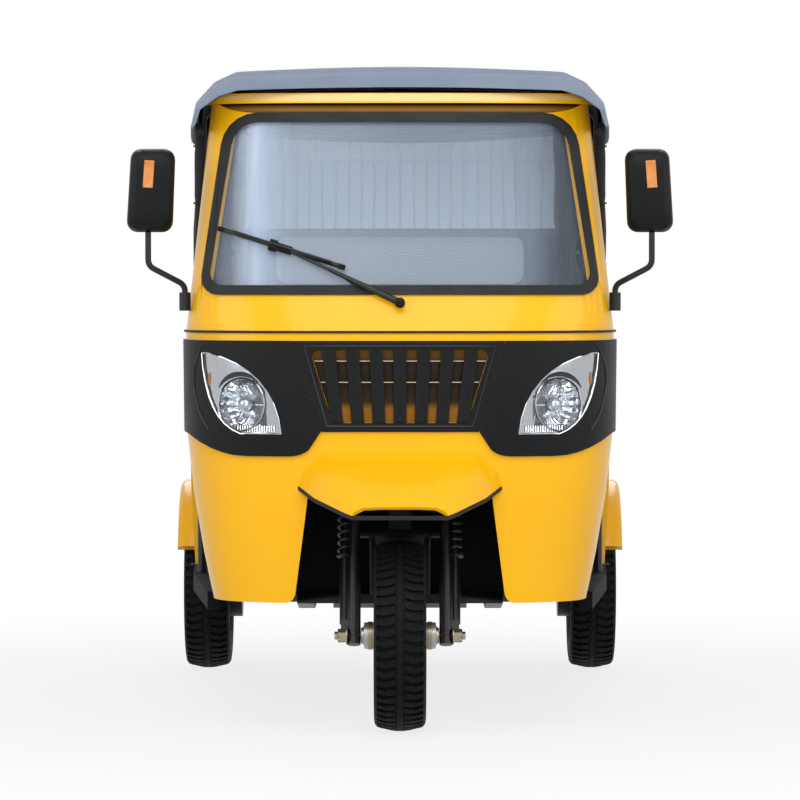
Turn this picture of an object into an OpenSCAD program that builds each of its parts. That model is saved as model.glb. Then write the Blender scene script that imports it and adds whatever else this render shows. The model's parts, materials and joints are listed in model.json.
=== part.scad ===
// Motor tricycle: a three-wheeled passenger car with a canvas hood over an open cabin.
// The front looks along -Y and the left side of the car is +X. The ground is Z = 0.
// Inside the modules Y counts from the front axle; placed() brings the middle of the length to Y = 0.

/* [Overall] */
// Length from the mudguard's lip to the rear bumper
length = 2650; // [2550:10:2850]
// Front axle back from the mudguard's lip
front_overhang = 285; // [270:5:330]
// Distance between the axles
wheelbase = 1980; // [1900:10:2100]
// Height of the roof
height = 1726; // [1690:2:1800]
// Width of the front body at the belt
body_w = 1122; // [1060:2:1180]
// Width of the rear body
tub_w = 1206; // [1140:2:1240]
// Width over the rear fenders
fender_w = 1304; // [1270:2:1400]

/* [Wheels] */
// Radius of a tyre
wheel_r = 245; // [225:1:260]
// Width of a tyre
tyre_w = 134; // [110:1:145]
// Radius of the rim's bead seat
rim_r = 130; // [115:1:140]
// Width of the rim between its flanges
rim_w = 98; // [84:1:106]
// Distance between the rear wheels' middles
rear_track = 1140; // [1060:2:1180]
// Radius of the front axle
axle_r = 10; // [8:0.5:13]
// Radius of a rear half shaft
shaft_r = 14; // [11:0.5:18]
// Radius of a brake drum
drum_r = 92; // [70:1:105]

/* [Front body] */
// Height of the leg shields' lower edge
cowl_z = 330; // [300:2:360]
// Height of the belt line under the windscreen
belt_z = 1022; // [980:2:1060]
// Height of the header over the windscreen
header_z = 1642; // [1600:2:1680]
// Reach of the nose ahead of the front axle
cowl_reach = 88; // [60:2:120]
// Back edge of the front body at the belt, behind the front axle
cowl_side = 330; // [290:5:380]
// Lean of the windscreen
screen_rake = 18.5; // [10:0.5:25]
// Lean of a windscreen pillar towards the middle
pillar_lean = 6.4; // [0:0.1:8]
// Back edge of a windscreen pillar at the header
pillar_top_y = 300; // [260:5:360]
// Thickness of the body walls
wall_t = 18; // [12:1:24]
// Width of the wheel opening at the leg shields' lower edge
arch_w = 538; // [480:2:580]
// Width of the wheel opening at its top
arch_top_w = 470; // [440:2:520]
// Height of the wheel opening
arch_z = 640; // [600:2:680]
// Radius of the leg shields' lower inner corners
arch_corner = 32; // [10:1:60]
// Height of the black panels' upper edge
panel_top_z = 1003; // [980:1:1030]
// Height of the black panels' lower edge under the lamps
panel_low_z = 708; // [680:1:760]
// Height of the grille panel's lower edge
grille_low_z = 771; // [740:1:800]
// Thickness of the black panels
panel_t = 8; // [6:1:18]
// Half width of the grille panel at its top
grille_top_x = 268; // [230:2:320]
// Half width of the grille panel at its foot
grille_foot_x = 202; // [170:2:240]
// Height of a yellow belt strip's black piping
piping_h = 6; // [4:1:12]

/* [Mudguard] */
// Height of the mudguard's lip at its tip
lip_z = 567; // [545:1:600]
// Height of the mudguard's lip at the body
lip_back_z = 634; // [610:1:660]
// Height of the mudguard's top at the body
guard_top_z = 734; // [700:1:760]
// Half width of the mudguard's lip at the body
guard_half_w = 262; // [235:1:290]
// Thickness of the mudguard
guard_t = 7; // [4:1:12]
// Height of the rubber edging
edge_h = 11; // [6:1:18]

/* [Windscreen] */
// Height of the windscreen's lower edge
screen_z = 1120; // [1090:2:1160]
// Height of the windscreen's upper edge
screen_top_z = 1592; // [1540:2:1620]
// Half width of the windscreen at its lower edge
screen_x = 522; // [460:2:530]
// Half width of the windscreen at its upper edge
screen_top_x = 454; // [420:2:490]
// Width of the rubber seal
seal_w = 25; // [14:1:34]
// Thickness of the glass
glass_t = 5; // [4:0.5:8]

/* [Mirrors] */
// Width of a mirror
mirror_w = 114; // [90:2:130]
// Height of a mirror
mirror_h = 216; // [170:2:240]
// Depth of a mirror
mirror_d = 66; // [40:1:80]
// Middle of a mirror from the middle of the car
mirror_x = 640; // [600:2:680]
// Height of a mirror's foot
mirror_z = 1282; // [1240:2:1330]
// Radius of a mirror's arm
mirror_arm_r = 8; // [6:0.5:11]

/* [Steering] */
// Lean of the steering axis
rake = 18; // [12:0.5:24]
// Steering axis behind the axle, at the axle's height
axis_offset = 40; // [30:1:60]
// Distance between the fork legs
fork_w = 236; // [220:2:260]
// Radius of a fork slider
slider_r = 17; // [15:0.5:22]
// Radius of a fork tube
fork_tube_r = 14.5; // [12:0.5:17]
// Radius of the steering stem
stem_r = 18; // [14:0.5:22]
// Fork crown above the axle, along the steering axis
crown_l = 392; // [370:2:420]
// Handlebar above the axle, along the steering axis
bar_l = 800; // [760:5:840]
// Half width of the handlebar
bar_half_w = 335; // [290:5:360]
// Radius of the handlebar
bar_r = 12; // [10:0.5:15]
// Radius of a front spring
spring_r = 22; // [18:0.5:26]

/* [Cabin] */
// Height of the floor's underside
floor_z = 330; // [310:2:360]
// Thickness of the floor
floor_t = 12; // [6:1:20]
// Width of the cabin floor
floor_w = 1180; // [1120:2:1200]
// Back wall of the wheel house behind the front axle
house_y = 390; // [370:2:420]
// Width of the wheel house
house_w = 600; // [570:2:640]
// Height of the wheel house's top
house_z = 790; // [760:2:820]
// Front edge of the driver's seat behind the front axle
seat_y = 640; // [600:5:680]
// Length of the driver's seat
seat_l = 368; // [320:2:400]
// Width of the driver's seat
seat_w = 430; // [360:5:520]
// Height of the driver's seat
seat_z = 640; // [600:2:680]
// Height of the driver's backrest
back_z = 1000; // [940:5:1040]
// Main hoop behind the front axle
hoop_y = 1062; // [1050:2:1090]
// Front edge of the rear body ahead of the rear axle
quarter_l = 540; // [480:5:580]
// Width of the passenger bench
bench_w = 1056; // [980:2:1080]
// Length of the bench's cushion
bench_l = 440; // [400:5:470]
// Height of the bench's cushion
bench_z = 730; // [690:2:760]
// Height of the bench's backrest
bench_back_z = 1130; // [1080:5:1180]

/* [Hood] */
// Height of the hood's side edge
eave_z = 1556; // [1520:2:1590]
// Half width of the hood at the front
hood_front_x = 546; // [520:1:570]
// Half width of the hood at the main hoop
hood_x = 606; // [580:1:625]
// Thickness of the padded canvas roof
hood_t = 8; // [5:1:14]
// Thickness of the side and rear canvas
canvas_t = 6; // [4:1:10]
// Radius of a hood tube
tube_r = 12; // [9:0.5:16]
// Width of the rear window
window_w = 760; // [600:10:880]
// Lower edge of the rear window
window_z = 1145; // [1120:5:1180]
// Height of the rear window
window_h = 150; // [110:5:160]
// Width of the pleated curtain
curtain_w = 930; // [800:10:980]
// Height of the pleated curtain
curtain_h = 280; // [220:5:300]
// Depth of the curtain's pleats
curtain_t = 18; // [10:1:24]

/* [Rear body] */
// Height of the rear body's upper edge
tub_z = 1000; // [970:2:1040]
// Rear bumper behind the rear body
bumper_gap = 38; // [30:1:60]
// Radius of the wheel openings
rear_arch_r = 300; // [285:1:320]
// Outer radius of a rear fender
fender_r = 317; // [305:1:330]
// Inner radius of a rear fender
fender_in_r = 287; // [275:1:300]
// Width of the engine lid
lid_w = 720; // [600:10:760]
// Lower edge of the engine lid
lid_z = 470; // [450:2:520]
// Height of the engine lid
lid_h = 370; // [300:5:400]
// Gap around the engine lid
lid_gap = 6; // [5:0.5:10]
// Radius of the lid's hinge barrels
barrel_r = 7; // [5:0.5:10]
// Radius of the rear bumper
bumper_r = 21; // [15:1:28]
// Half width of the rear bumper
bumper_x = 470; // [400:5:520]

/* [Chassis] */
// Distance between the chassis rails' middles
rail_gap = 500; // [484:2:540]
// Width of a chassis rail
rail_w = 44; // [36:1:56]
// Height of a chassis rail
rail_h = 56; // [44:1:64]
// Length of the engine block
engine_l = 480; // [400:10:500]
// Width of the engine block
engine_w = 390; // [320:10:400]
// Height of the engine block
engine_h = 390; // [340:4:400]
// Radius of the tow eye's hole
tow_r = 10; // [6:0.5:12]
// Width of a jacking pad
pad_w = 70; // [50:2:90]

/* [Hidden] */
$fn = 48;
ring_steps = 32;
arc_steps = 5;
tube_sides = 8;
front_round = 3;
tub_round = 9;
gap = 0.3;
run_gap = 0.06;
over = 2;

yellow = "#F5B811";
black = "#2A2C2F";
steel = "#3A3C3E";
silver = "#B9B6AE";
canvas = "#6D7686";
rubber = "#1D1D1F";
clear = "#BFD0DA";
amber = "#D08A1E";
red = "#B3261E";
vinyl = "#4A4C50";
curtain_grey = "#AEBBC8";

front_y = front_overhang - length / 2;
rear_end = length - front_overhang;
tub_reach = rear_end - wheelbase - bumper_gap;
quarter_y = wheelbase - quarter_l;
floor_top = floor_z + floor_t;
rail_z = floor_z - rail_h;
rail_x = rail_gap / 2;
rail_front = house_y - rail_w;
rail_end_share = 0.66;
rail_end = wheelbase + (rear_end - wheelbase) * rail_end_share;

// Front body at heights given as shares of the cowl: half width, reach of the nose and back edge as shares
cowl_shares = [
    // height, half width, reach, back edge
    [0.00, 0.868, 0.45, 0.76],
    [0.18, 0.915, 0.62, 0.80],
    [0.40, 0.962, 0.82, 0.88],
    [0.63, 0.994, 1.00, 0.95],
    [0.96, 1.000, 0.82, 1.00],
    [1.00, 1.000, 0.76, 1.00]];
belt_reach = cowl_shares[len(cowl_shares) - 1][2] * cowl_reach;
pillar_h = header_z - belt_z;
front_rows = concat(
    [for (s = cowl_shares)
        [cowl_z + s[0] * (belt_z - cowl_z), s[1] * body_w / 2, -s[2] * cowl_reach, s[3] * cowl_side]],
    [[header_z, body_w / 2 - pillar_h * tan(pillar_lean), pillar_h * tan(screen_rake) - belt_reach,
        pillar_top_y]]);

// Rear body and rear canvas: height and half width as shares, reach behind the rear axle as a share
tub_shares = [
    // height, half width, reach
    [0.000, 0.975, 1.000],
    [0.177, 0.995, 1.000],
    [0.420, 1.000, 0.905],
    [0.533, 0.995, 0.865],
    [0.777, 1.000, 0.795],
    [1.000, 0.976, 0.705]];
tub_low = floor_top + gap;
tub_high = eave_z + 2 * tube_r;
tub_rows = [for (s = tub_shares)
    [tub_low + s[0] * (tub_high - tub_low), s[1] * tub_w / 2, wheelbase + s[2] * tub_reach]];

// Roof stations from the front valance to the rear one
hood_share = 0.75;
hood_len = wheelbase + hood_share * tub_reach;
hood_shares = [
    // station, half width from front to hoop, rise of the top, inward step along Y
    [0.049, -0.12, 0.60, 1],
    [0.051, 0.00, 0.80, 1],
    [0.064, 0.05, 0.92, 0.5],
    [0.250, 0.25, 0.97, 0],
    [0.470, 0.62, 1.00, 0],
    [0.640, 0.86, 0.99, 0],
    [0.720, 0.98, 0.98, 0],
    [0.915, 0.96, 0.90, 0],
    [0.985, 0.80, 0.76, -0.5],
    [1.000, 0.72, 0.46, -1]];
// Outline of the roof across: place from the middle and drop from the top to the edge
roof_shares = [[0, 0], [0.40, 0.03], [0.78, 0.09], [0.885, 0.26], [0.975, 0.60], [1, 1]];

function unit(v) = v / norm(v);
function turned(v) = [for (i = [len(v) - 1:-1:0]) v[i]];
function column(rows, z, k) = lookup(z, [for (r = rows) [r[0], r[k]]]);
function levels(rows, z0, z1) =
    concat([z0], [for (r = rows) if (r[0] > z0 + over && r[0] < z1 - over) r[0]], [z1]);
function oval(w, d, n) = [for (i = [0:ring_steps]) let (a = 180 * i / ring_steps)
    [w * sign(cos(a)) * pow(abs(cos(a)), 2 / n), d * pow(abs(sin(a)), 2 / n)]];
function front_ring(z, o) = let (w = column(front_rows, z, 1) + o, b = column(front_rows, z, 3),
    d = b - column(front_rows, z, 2) + o) [for (p = oval(w, d, front_round)) [p[0], b - p[1], z]];
function tub_ring(z, o) = let (w = column(tub_rows, z, 1) + o, d = column(tub_rows, z, 2) - quarter_y + o)
    [for (p = oval(w, d, tub_round)) [-p[0], quarter_y + p[1], z]];
// Front of the body at a place across and a height
function skin_y(x, z, o) = let (w = column(front_rows, z, 1) + o, b = column(front_rows, z, 3),
    d = b - column(front_rows, z, 2) + o)
    b - d * pow(1 - pow(min(abs(x) / w, 1), front_round), 1 / front_round);
// Side of the body at a place along and a height
function side_x(y, z, o) = let (w = column(front_rows, z, 1) + o, b = column(front_rows, z, 3),
    d = b - column(front_rows, z, 2) + o) w * pow(1 - pow(max(b - y, 0) / d, front_round), 1 / front_round);
function corner(a, b, c, r) = let (u = unit(a - b), v = unit(c - b), h = acos(u * v) / 2,
    m = b + unit(u + v) * r / sin(h), p = b + u * r / tan(h) - m, q = b + v * r / tan(h) - m,
    s = atan2(p[1], p[0]), e = (atan2(q[1], q[0]) - s + 540) % 360 - 180)
    [for (i = [0:arc_steps]) m + r * [cos(s + e * i / arc_steps), sin(s + e * i / arc_steps)]];
function rounded(pts, radii) = let (n = len(pts))
    [for (i = [0:n - 1]) each corner(pts[(i + n - 1) % n], pts[i], pts[(i + 1) % n], radii[i % len(radii)])];
function curve(a, b, c) = [for (i = [0:arc_steps]) let (t = i / arc_steps)
    a * (1 - t) * (1 - t) + b * 2 * t * (1 - t) + c * t * t];
function bent(p, f) = concat([p[0]], [for (i = [1:len(p) - 2])
    each curve(p[i] + unit(p[i - 1] - p[i]) * f, p[i], p[i] + unit(p[i + 1] - p[i]) * f)], [p[len(p) - 1]]);
function heading(p, i) = unit(p[min(i + 1, len(p) - 1)] - p[max(i - 1, 0)]);
function carried(p, i, v) = i >= len(p) ? [] :
    let (t = heading(p, i), u = unit(v - (v * t) * t)) concat([u], carried(p, i + 1, u));
function flip_x(p) = [for (q = turned(p)) [-q[0], q[1], q[2]]];

module placed() { translate([0, front_y, 0]) children(); }
module both() { children(); mirror([1, 0, 0]) children(); }
// An outline across and up, pushed through from one place along to another
module through(y0, y1) { translate([0, y1, 0]) rotate([90, 0, 0]) linear_extrude(y1 - y0) children(); }
module block(x0, x1, y0, y1, z0, z1) { translate([x0, y0, z0]) cube([x1 - x0, y1 - y0, z1 - z0]); }
module rod_x(x0, x1, y, z, r) { translate([x0, y, z]) rotate([0, 90, 0]) cylinder(r = r, h = x1 - x0); }
module rod_y(x, y0, y1, z, r) { translate([x, y0, z]) rotate([-90, 0, 0]) cylinder(r = r, h = y1 - y0); }
module rod(a, b, r) {
    v = b - a;
    translate(a) rotate([0, acos(v[2] / norm(v)), atan2(v[1], v[0])]) cylinder(r = r, h = norm(v));
}
// A solid through rings of points that all turn the same way
module skin(rings) {
    m = len(rings[0]);
    n = len(rings);
    polyhedron([for (r = rings) each r], concat(
        [for (k = [0:n - 2], i = [0:m - 1]) let (a = k * m + i, b = k * m + (i + 1) % m)
            each [[a, b, b + m], [a, b + m, a + m]]],
        [[for (i = [m - 1:-1:0]) i]], [[for (i = [0:m - 1]) (n - 1) * m + i]]));
}
// An open wall between an outer and an inner row of lines
module wall(outer, inner) {
    n = len(outer[0]);
    m = 2 * n;
    t = (len(outer) - 1) * m;
    polyhedron([for (k = [0:len(outer) - 1]) each concat(outer[k], turned(inner[k]))], concat(
        [for (k = [0:len(outer) - 2], i = [0:m - 1]) let (a = k * m + i, b = k * m + (i + 1) % m)
            each [[a, b, b + m], [a, b + m, a + m]]],
        [for (i = [0:n - 2]) each [[i, m - 1 - i, m - 2 - i], [i, m - 2 - i, i + 1]]],
        [for (i = [0:n - 2]) each [[t + i, t + i + 1, t + m - 2 - i], [t + i, t + m - 2 - i, t + m - 1 - i]]]));
}
module front_wall(z0, z1, o0, o1) {
    wall([for (z = levels(front_rows, z0, z1)) front_ring(z, o1)],
        [for (z = levels(front_rows, z0, z1)) front_ring(z, o0)]);
}
module tub_wall(z0, z1, o0, o1) {
    wall([for (z = levels(tub_rows, z0, z1)) tub_ring(z, o1)],
        [for (z = levels(tub_rows, z0, z1)) tub_ring(z, o0)]);
}
// The room inside the front body, drawn out to the back
module front_room(z0, z1, o, y1) {
    skin([for (z = levels(front_rows, z0, z1)) let (r = front_ring(z, o), n = len(r) - 1)
        concat(r, [[r[n][0], y1, z], [r[0][0], y1, z]])]);
}
module tub_room(z0, z1, o, y0) {
    skin([for (z = levels(tub_rows, z0, z1)) let (r = tub_ring(z, o), n = len(r) - 1)
        concat(r, [[r[n][0], y0, z], [r[0][0], y0, z]])]);
}
module tube(p, r, up) {
    n = carried(p, 0, up);
    skin([for (i = [0:len(p) - 1]) let (b = cross(heading(p, i), n[i]))
        [for (k = [0:tube_sides - 1]) let (a = -360 * k / tube_sides)
            p[i] + r * (cos(a) * n[i] + sin(a) * b)]]);
}
// A box with rounded upright edges and a narrower top, for cushions
module cushion(x, y0, y1, z0, z1, r) {
    skin([for (s = [[z0, 0], [z1 - r, 0], [z1, r / 2]])
        [for (p = turned(rounded([[s[1] - x, y0 + s[1]], [x - s[1], y0 + s[1]], [x - s[1], y1 - s[1]],
            [s[1] - x, y1 - s[1]]], [r]))) [p[0], p[1], s[0]]]]);
}

// Chassis: two rails, cross members, the neck with its head tube, the shock towers and the pads
cross_w = 40;
rail_rise = 30;
rail_taper = 250;
cross_shares = [0, 0.36, 1];
cross_x = 430;
neck_w = 60;
head_r = 31;
head_l = 130;
neck_z = 735;
neck_bar_h = 44;
tower_x = 430;
tower_y = 90;
tower_z = 560;
tower_t = 26;
tower_w = 50;
mount_l = 44;
mount_z = 14;
mount_h = 30;
mount_shares = [0.12, 0.80];
pad_h = 10;
pad_y = 180;
arm_pivot_y = 500;
arm_cross_y = wheelbase - arm_pivot_y;
engine_ahead = 290;
engine_y = wheelbase - engine_ahead;
engine_z = 198;
module in_steering() {
    translate([0, axis_offset, wheel_r]) rotate([-rake, 0, 0]) children();
}
module chassis_solid() {
    both() translate([rail_x - rail_w / 2, 0, 0]) rotate([90, 0, 90]) linear_extrude(rail_w)
        polygon([[rail_front, floor_z], [rail_front, rail_z + rail_rise], [rail_front + rail_taper, rail_z],
            [rail_end, rail_z], [rail_end, floor_z]]);
    for (s = cross_shares)
        let (y = rail_front + s * (rail_end - rail_front - cross_w))
            block(-rail_x, rail_x, y, y + cross_w, s == 0 ? rail_z + rail_rise : rail_z, floor_z);
    block(-cross_x, cross_x, arm_cross_y - cross_w / 2, arm_cross_y + cross_w / 2, rail_z, floor_z);
    block(-neck_w / 2, neck_w / 2, rail_front, house_y - house_t - gap, rail_z + rail_rise, neck_z);
    in_steering() translate([0, 0, crown_l + 2 * slider_r + over * 2]) cylinder(r = head_r, h = head_l);
    block(-neck_w / 2, neck_w / 2, axis_offset + (neck_z - wheel_r) * tan(rake) - head_r / 2,
        house_y - house_t - gap, neck_z - neck_bar_h, neck_z);
    both() {
        block(rail_x - rail_w / 2, rail_x + rail_w / 2, wheelbase - tower_y - tower_w / 2,
            wheelbase - tower_y + tower_w / 2, rail_z, tower_z);
        block(rail_x - rail_w / 2, tower_x, wheelbase - tower_y - tower_w / 2,
            wheelbase - tower_y + tower_w / 2, tower_z, tower_z + tower_t);
        for (s = mount_shares)
            block(engine_w / 2 + gap, rail_x, engine_y + s * engine_l, engine_y + s * engine_l + mount_l,
                rail_z + mount_z, rail_z + mount_z + mount_h);
        block(rail_x - pad_w / 2, rail_x + pad_w / 2, arm_cross_y - pad_y - pad_w, arm_cross_y - pad_y,
            rail_z - pad_h, rail_z);
    }
}
module chassis() {
    color(steel) placed() difference() {
        chassis_solid();
        in_steering() translate([0, 0, crown_l]) cylinder(r = stem_r + run_gap, h = bar_l);
    }
}

// Cabin floor with its side sills and the wider part that carries the rear body
sill_w = 34;
sill_h = 36;
rear_floor_l = 46;
house_t = 5;
// Side of the floor from the front: places along and half widths as shares
floor_shares = [[0.178, 0.856], [0.486, 0.924], [0.708, 0.975], [1, 1]];
function floor_side(o) = [for (s = floor_shares) [s[1] * floor_w / 2 - o, s[0] * quarter_y]];
module floor_pan() {
    color(black) placed() difference() {
        union() {
            intersection() {
                front_room(floor_z, floor_top, -wall_t - gap, cowl_side);
                block(-body_w, body_w, -body_w, cowl_side, floor_z, floor_top);
            }
            translate([0, 0, floor_z]) linear_extrude(floor_t)
                polygon(concat(floor_side(0), turned([for (p = floor_side(0)) [-p[0], p[1]]])));
            block(-tub_w / 2, tub_w / 2, quarter_y - rear_floor_l, quarter_y + rear_floor_l, floor_z,
                floor_top);
            both() translate([0, 0, floor_z - sill_h]) linear_extrude(sill_h + floor_t)
                polygon(concat(floor_side(0), turned(floor_side(sill_w))));
        }
        block(-house_w / 2 - gap, house_w / 2 + gap, -body_w, house_y + gap, floor_z - over, floor_top + over);
    }
}

// Black box around the front wheel, open below and ahead
module wheel_house() {
    color(black) placed() difference() {
        intersection() {
            block(-house_w / 2, house_w / 2, -body_w, house_y, cowl_z, house_z);
            front_room(cowl_z, house_z, -wall_t - fit_gap, house_y);
        }
        block(house_t - house_w / 2, house_w / 2 - house_t, -body_w, house_y - house_t, cowl_z - over,
            house_z - house_t);
        in_steering() translate([0, 0, crown_l]) cylinder(r = head_r + over * 2, h = bar_l);
    }
}

// Yellow front body with its leg shields and the wheel opening
lamp_shares = [
    // left lamp: tip, outer sweep, foot, inner foot, inner sweep, top: shares across and up the panels
    [0.910, 0.888], [0.891, 0.295], [0.726, 0.193], [0.539, 0.193], [0.579, 0.769], [0.880, 0.888]];
panel_h = panel_top_z - panel_low_z;
lamp_points = [for (s = lamp_shares) [s[0] * body_w / 2, panel_low_z + s[1] * panel_h]];
module lamp_outline(o) {
    offset(delta = o) polygon(concat(curve(lamp_points[0], lamp_points[1], lamp_points[2]),
        curve(lamp_points[3], lamp_points[4], lamp_points[5])));
}
module front_cowl() {
    color(yellow) placed() difference() {
        front_wall(cowl_z, belt_z, -wall_t, 0);
        through(-body_w, cowl_side / 2) polygon(concat(
            curve([arch_w / 2 + arch_corner, cowl_z - over], [arch_w / 2, cowl_z],
                [arch_w / 2 - over, cowl_z + arch_corner]),
            curve([arch_top_w / 2, arch_z - arch_corner], [arch_top_w / 2, arch_z],
                [arch_top_w / 2 - arch_corner, arch_z]),
            curve([arch_corner - arch_top_w / 2, arch_z], [-arch_top_w / 2, arch_z],
                [-arch_top_w / 2, arch_z - arch_corner]),
            curve([over - arch_w / 2, cowl_z + arch_corner], [-arch_w / 2, cowl_z],
                [-arch_w / 2 - arch_corner, cowl_z - over])));
        both() through(-body_w, cowl_side / 2) lamp_outline(over);
        intersection() {
            front_wall(grille_low_z, panel_top_z, -plate_share * wall_t, over);
            through(-body_w, 0) grille_opening();
        }
    }
}

// Black panels across the front
plate_share = 0.7;
panel_back_share = 0.97;
lamp_panel_shares = [0.839, 0.708, 0.98];
module panel_outline(o) {
    polygon(concat(
        [[grille_foot_x + o, grille_low_z], [grille_top_x + o, panel_top_z], [body_w / 2 + wall_t, panel_top_z],
            [body_w / 2 + wall_t, grille_low_z - over * 2]],
        curve([lamp_panel_shares[2] * body_w / 2, grille_low_z - over * 5],
            [lamp_panel_shares[0] * body_w / 2, panel_low_z], [lamp_panel_shares[1] * body_w / 2, panel_low_z]),
        curve([grille_top_x + wall_t, panel_low_z], [grille_top_x - wall_t, panel_low_z],
            [grille_top_x - wall_t * 2, panel_low_z + wall_t])));
}
module lamp_panels() {
    color(black) placed() both() difference() {
        intersection() {
            front_wall(panel_low_z - wall_t, panel_top_z, gap, panel_t);
            through(-body_w, cowl_side * panel_back_share) panel_outline(gap);
        }
        through(-body_w, cowl_side / 2) lamp_outline(gap);
    }
}
slat_n = 3;
slat_top = 61;
slat_foot = 53.5;
slat_w = 33;
open_top_x = 230;
open_foot_x = 172;
open_top_z = 980;
open_foot_z = 794;
open_corner = 14;
module grille_opening() {
    polygon(rounded([[open_foot_x, open_foot_z], [open_top_x, open_top_z], [-open_top_x, open_top_z],
        [-open_foot_x, open_foot_z]], [open_corner]));
}
module grille() {
    color(black) placed() intersection() {
        front_wall(grille_low_z, panel_top_z, gap, panel_t);
        through(-body_w, 0) difference() {
            polygon([[grille_foot_x - gap, grille_low_z], [grille_top_x - gap, panel_top_z],
                [gap - grille_top_x, panel_top_z], [gap - grille_foot_x, grille_low_z]]);
            difference() {
                grille_opening();
                for (i = [-slat_n:slat_n])
                    polygon([[i * slat_foot - slat_w / 2, open_foot_z - over],
                        [i * slat_foot + slat_w / 2, open_foot_z - over],
                        [i * slat_top + slat_w / 2, open_top_z + over],
                        [i * slat_top - slat_w / 2, open_top_z + over]]);
            }
        }
    }
}
// Black piping on the belt and rubber edging under the mudguard's lip
piping_out = 7;
guard_shares = [
    // back to front: reach, half width, fall of the lip, rise of the top
    [-0.15, 1.04, -0.10, 1.06],
    [0.46, 0.83, 0.42, 0.72],
    [0.88, 0.54, 0.90, 0.36],
    [1.00, 0.46, 1.00, 0.22]];
// Outline of the mudguard across: place and rise as shares
guard_outline = [
    [-1, 0], [-0.96, 0.45], [-0.78, 0.92], [-0.40, 1], [0.40, 1], [0.78, 0.92], [0.96, 0.45], [1, 0]];
guard_root_share = 0.70;
guard_reach = front_overhang - over - cowl_reach * guard_root_share;
function guard_y(s) = -cowl_reach * guard_root_share - s * guard_reach;
function guard_lip(s) = lip_back_z - s[2] * (lip_back_z - lip_z);
function guard_ring(s, o) = [for (g = guard_outline)
    [g[0] * (s[1] * guard_half_w - o), guard_y(s[0]) + (s[0] == 1 ? o : 0),
        guard_lip(s) + g[1] * s[3] * (guard_top_z - lip_back_z) - o * min(1, 2 * g[1])]];
function lip_path(o, d) = let (h = [for (s = guard_shares)
    [s[1] * guard_half_w - o, guard_y(s[0]) + (s[0] == 1 ? o : 0), guard_lip(s) - d]])
    concat(h, turned([for (p = h) [-p[0], p[1], p[2]]]));
module body_piping() {
    color(rubber) placed() {
        front_wall(belt_z + gap, belt_z + piping_h, over - wall_t, piping_out);
        difference() {
            wall([lip_path(-over, edge_h), lip_path(-over, gap)],
                [lip_path(guard_t, edge_h), lip_path(guard_t, gap)]);
            front_room(lip_z, guard_top_z + wall_t, gap, cowl_side);
        }
    }
}
module mudguard() {
    color(yellow) placed() difference() {
        wall([for (s = guard_shares) guard_ring(s, 0)], [for (s = guard_shares) guard_ring(s, guard_t)]);
        front_room(lip_z, guard_top_z + wall_t, gap, cowl_side);
    }
}

// Windscreen frame, seal and glass
function screen_corners(o) = [[screen_x - o, screen_z + o], [screen_top_x - o, screen_top_z - o],
    [o - screen_top_x, screen_top_z - o], [o - screen_x, screen_z + o]];
screen_r = 44;
screen_top_r = 96;
module screen_outline(o) {
    polygon(rounded(screen_corners(o),
        [screen_r - o / 2, screen_top_r - o, screen_top_r - o, screen_r - o / 2]));
}
visor_z = 26;
visor_out = 16;
module screen_frame() {
    color(yellow) placed() difference() {
        union() {
            front_wall(belt_z + piping_h + gap, header_z, -wall_t, 0);
            intersection() {
                front_wall(header_z - visor_z, header_z, -wall_t / 2, visor_out);
                block(-screen_x, screen_x, -body_w, pillar_top_y, belt_z, header_z);
            }
        }
        through(-body_w, pillar_top_y) screen_outline(0);
        roof_shell(-visor_out, hood_t + 2 * bow_gap);
    }
}
seal_out = 7;
seal_in = 12;
glass_in = 4;
glass_edge = 10;
module windscreen_seal() {
    color(rubber) placed() difference() {
        intersection() {
            front_wall(screen_z - seal_w, screen_top_z + seal_w, -seal_in, seal_out);
            through(-body_w, pillar_top_y) difference() {
                screen_outline(gap);
                screen_outline(seal_w);
            }
        }
        intersection() {
            front_wall(screen_z - seal_w, screen_top_z + seal_w, -glass_in - glass_t - gap, gap - glass_in);
            through(-body_w, pillar_top_y) screen_outline(seal_w - glass_edge);
        }
    }
}
module windscreen() {
    color(clear) placed() intersection() {
        front_wall(screen_z - seal_w, screen_top_z + seal_w, -glass_in - glass_t, -glass_in);
        through(-body_w, pillar_top_y) screen_outline(seal_w - glass_edge + gap);
    }
}

// Wiper: a pivot on the scuttle, an arm and a blade lying on the glass
wiper_z = 1100;
wiper_pivot_r = 11;
wiper_pivot_l = 24;
wiper_lift = 9;
wiper_r = 4.5;
blade_r = 6;
// Ends of the blade: shares across and up the windscreen
blade_shares = [[-0.900, 0.364], [-0.273, 0.148]];
blade_ends = [for (s = blade_shares) [s[0] * screen_x, screen_z + s[1] * (screen_top_z - screen_z)]];
blade_n = 6;
blade_mid_share = 0.54;
function on_glass(p, o) = [p[0], skin_y(p[0], p[1], o), p[1]];
module wiper() {
    mid = blade_ends[0] * (1 - blade_mid_share) + blade_ends[1] * blade_mid_share;
    color(black) placed() {
        rod_y(0, skin_y(0, wiper_z, 0) - wiper_pivot_l,
            skin_y(0, wiper_z, 0) - wiper_pivot_r * tan(screen_rake) - gap, wiper_z, wiper_pivot_r);
        tube([for (i = [0:blade_n]) on_glass([0, wiper_z] * (1 - i / blade_n) + mid * i / blade_n,
            wiper_lift - glass_in + (wiper_r + seal_out) * (1 - pow(i / blade_n, 3)))], wiper_r, [0, 0, 1]);
        tube([for (i = [0:blade_n]) on_glass(blade_ends[0] * (1 - i / blade_n) + blade_ends[1] * i / blade_n,
            wiper_lift - glass_in)], blade_r, [0, 0, 1]);
    }
}

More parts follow.
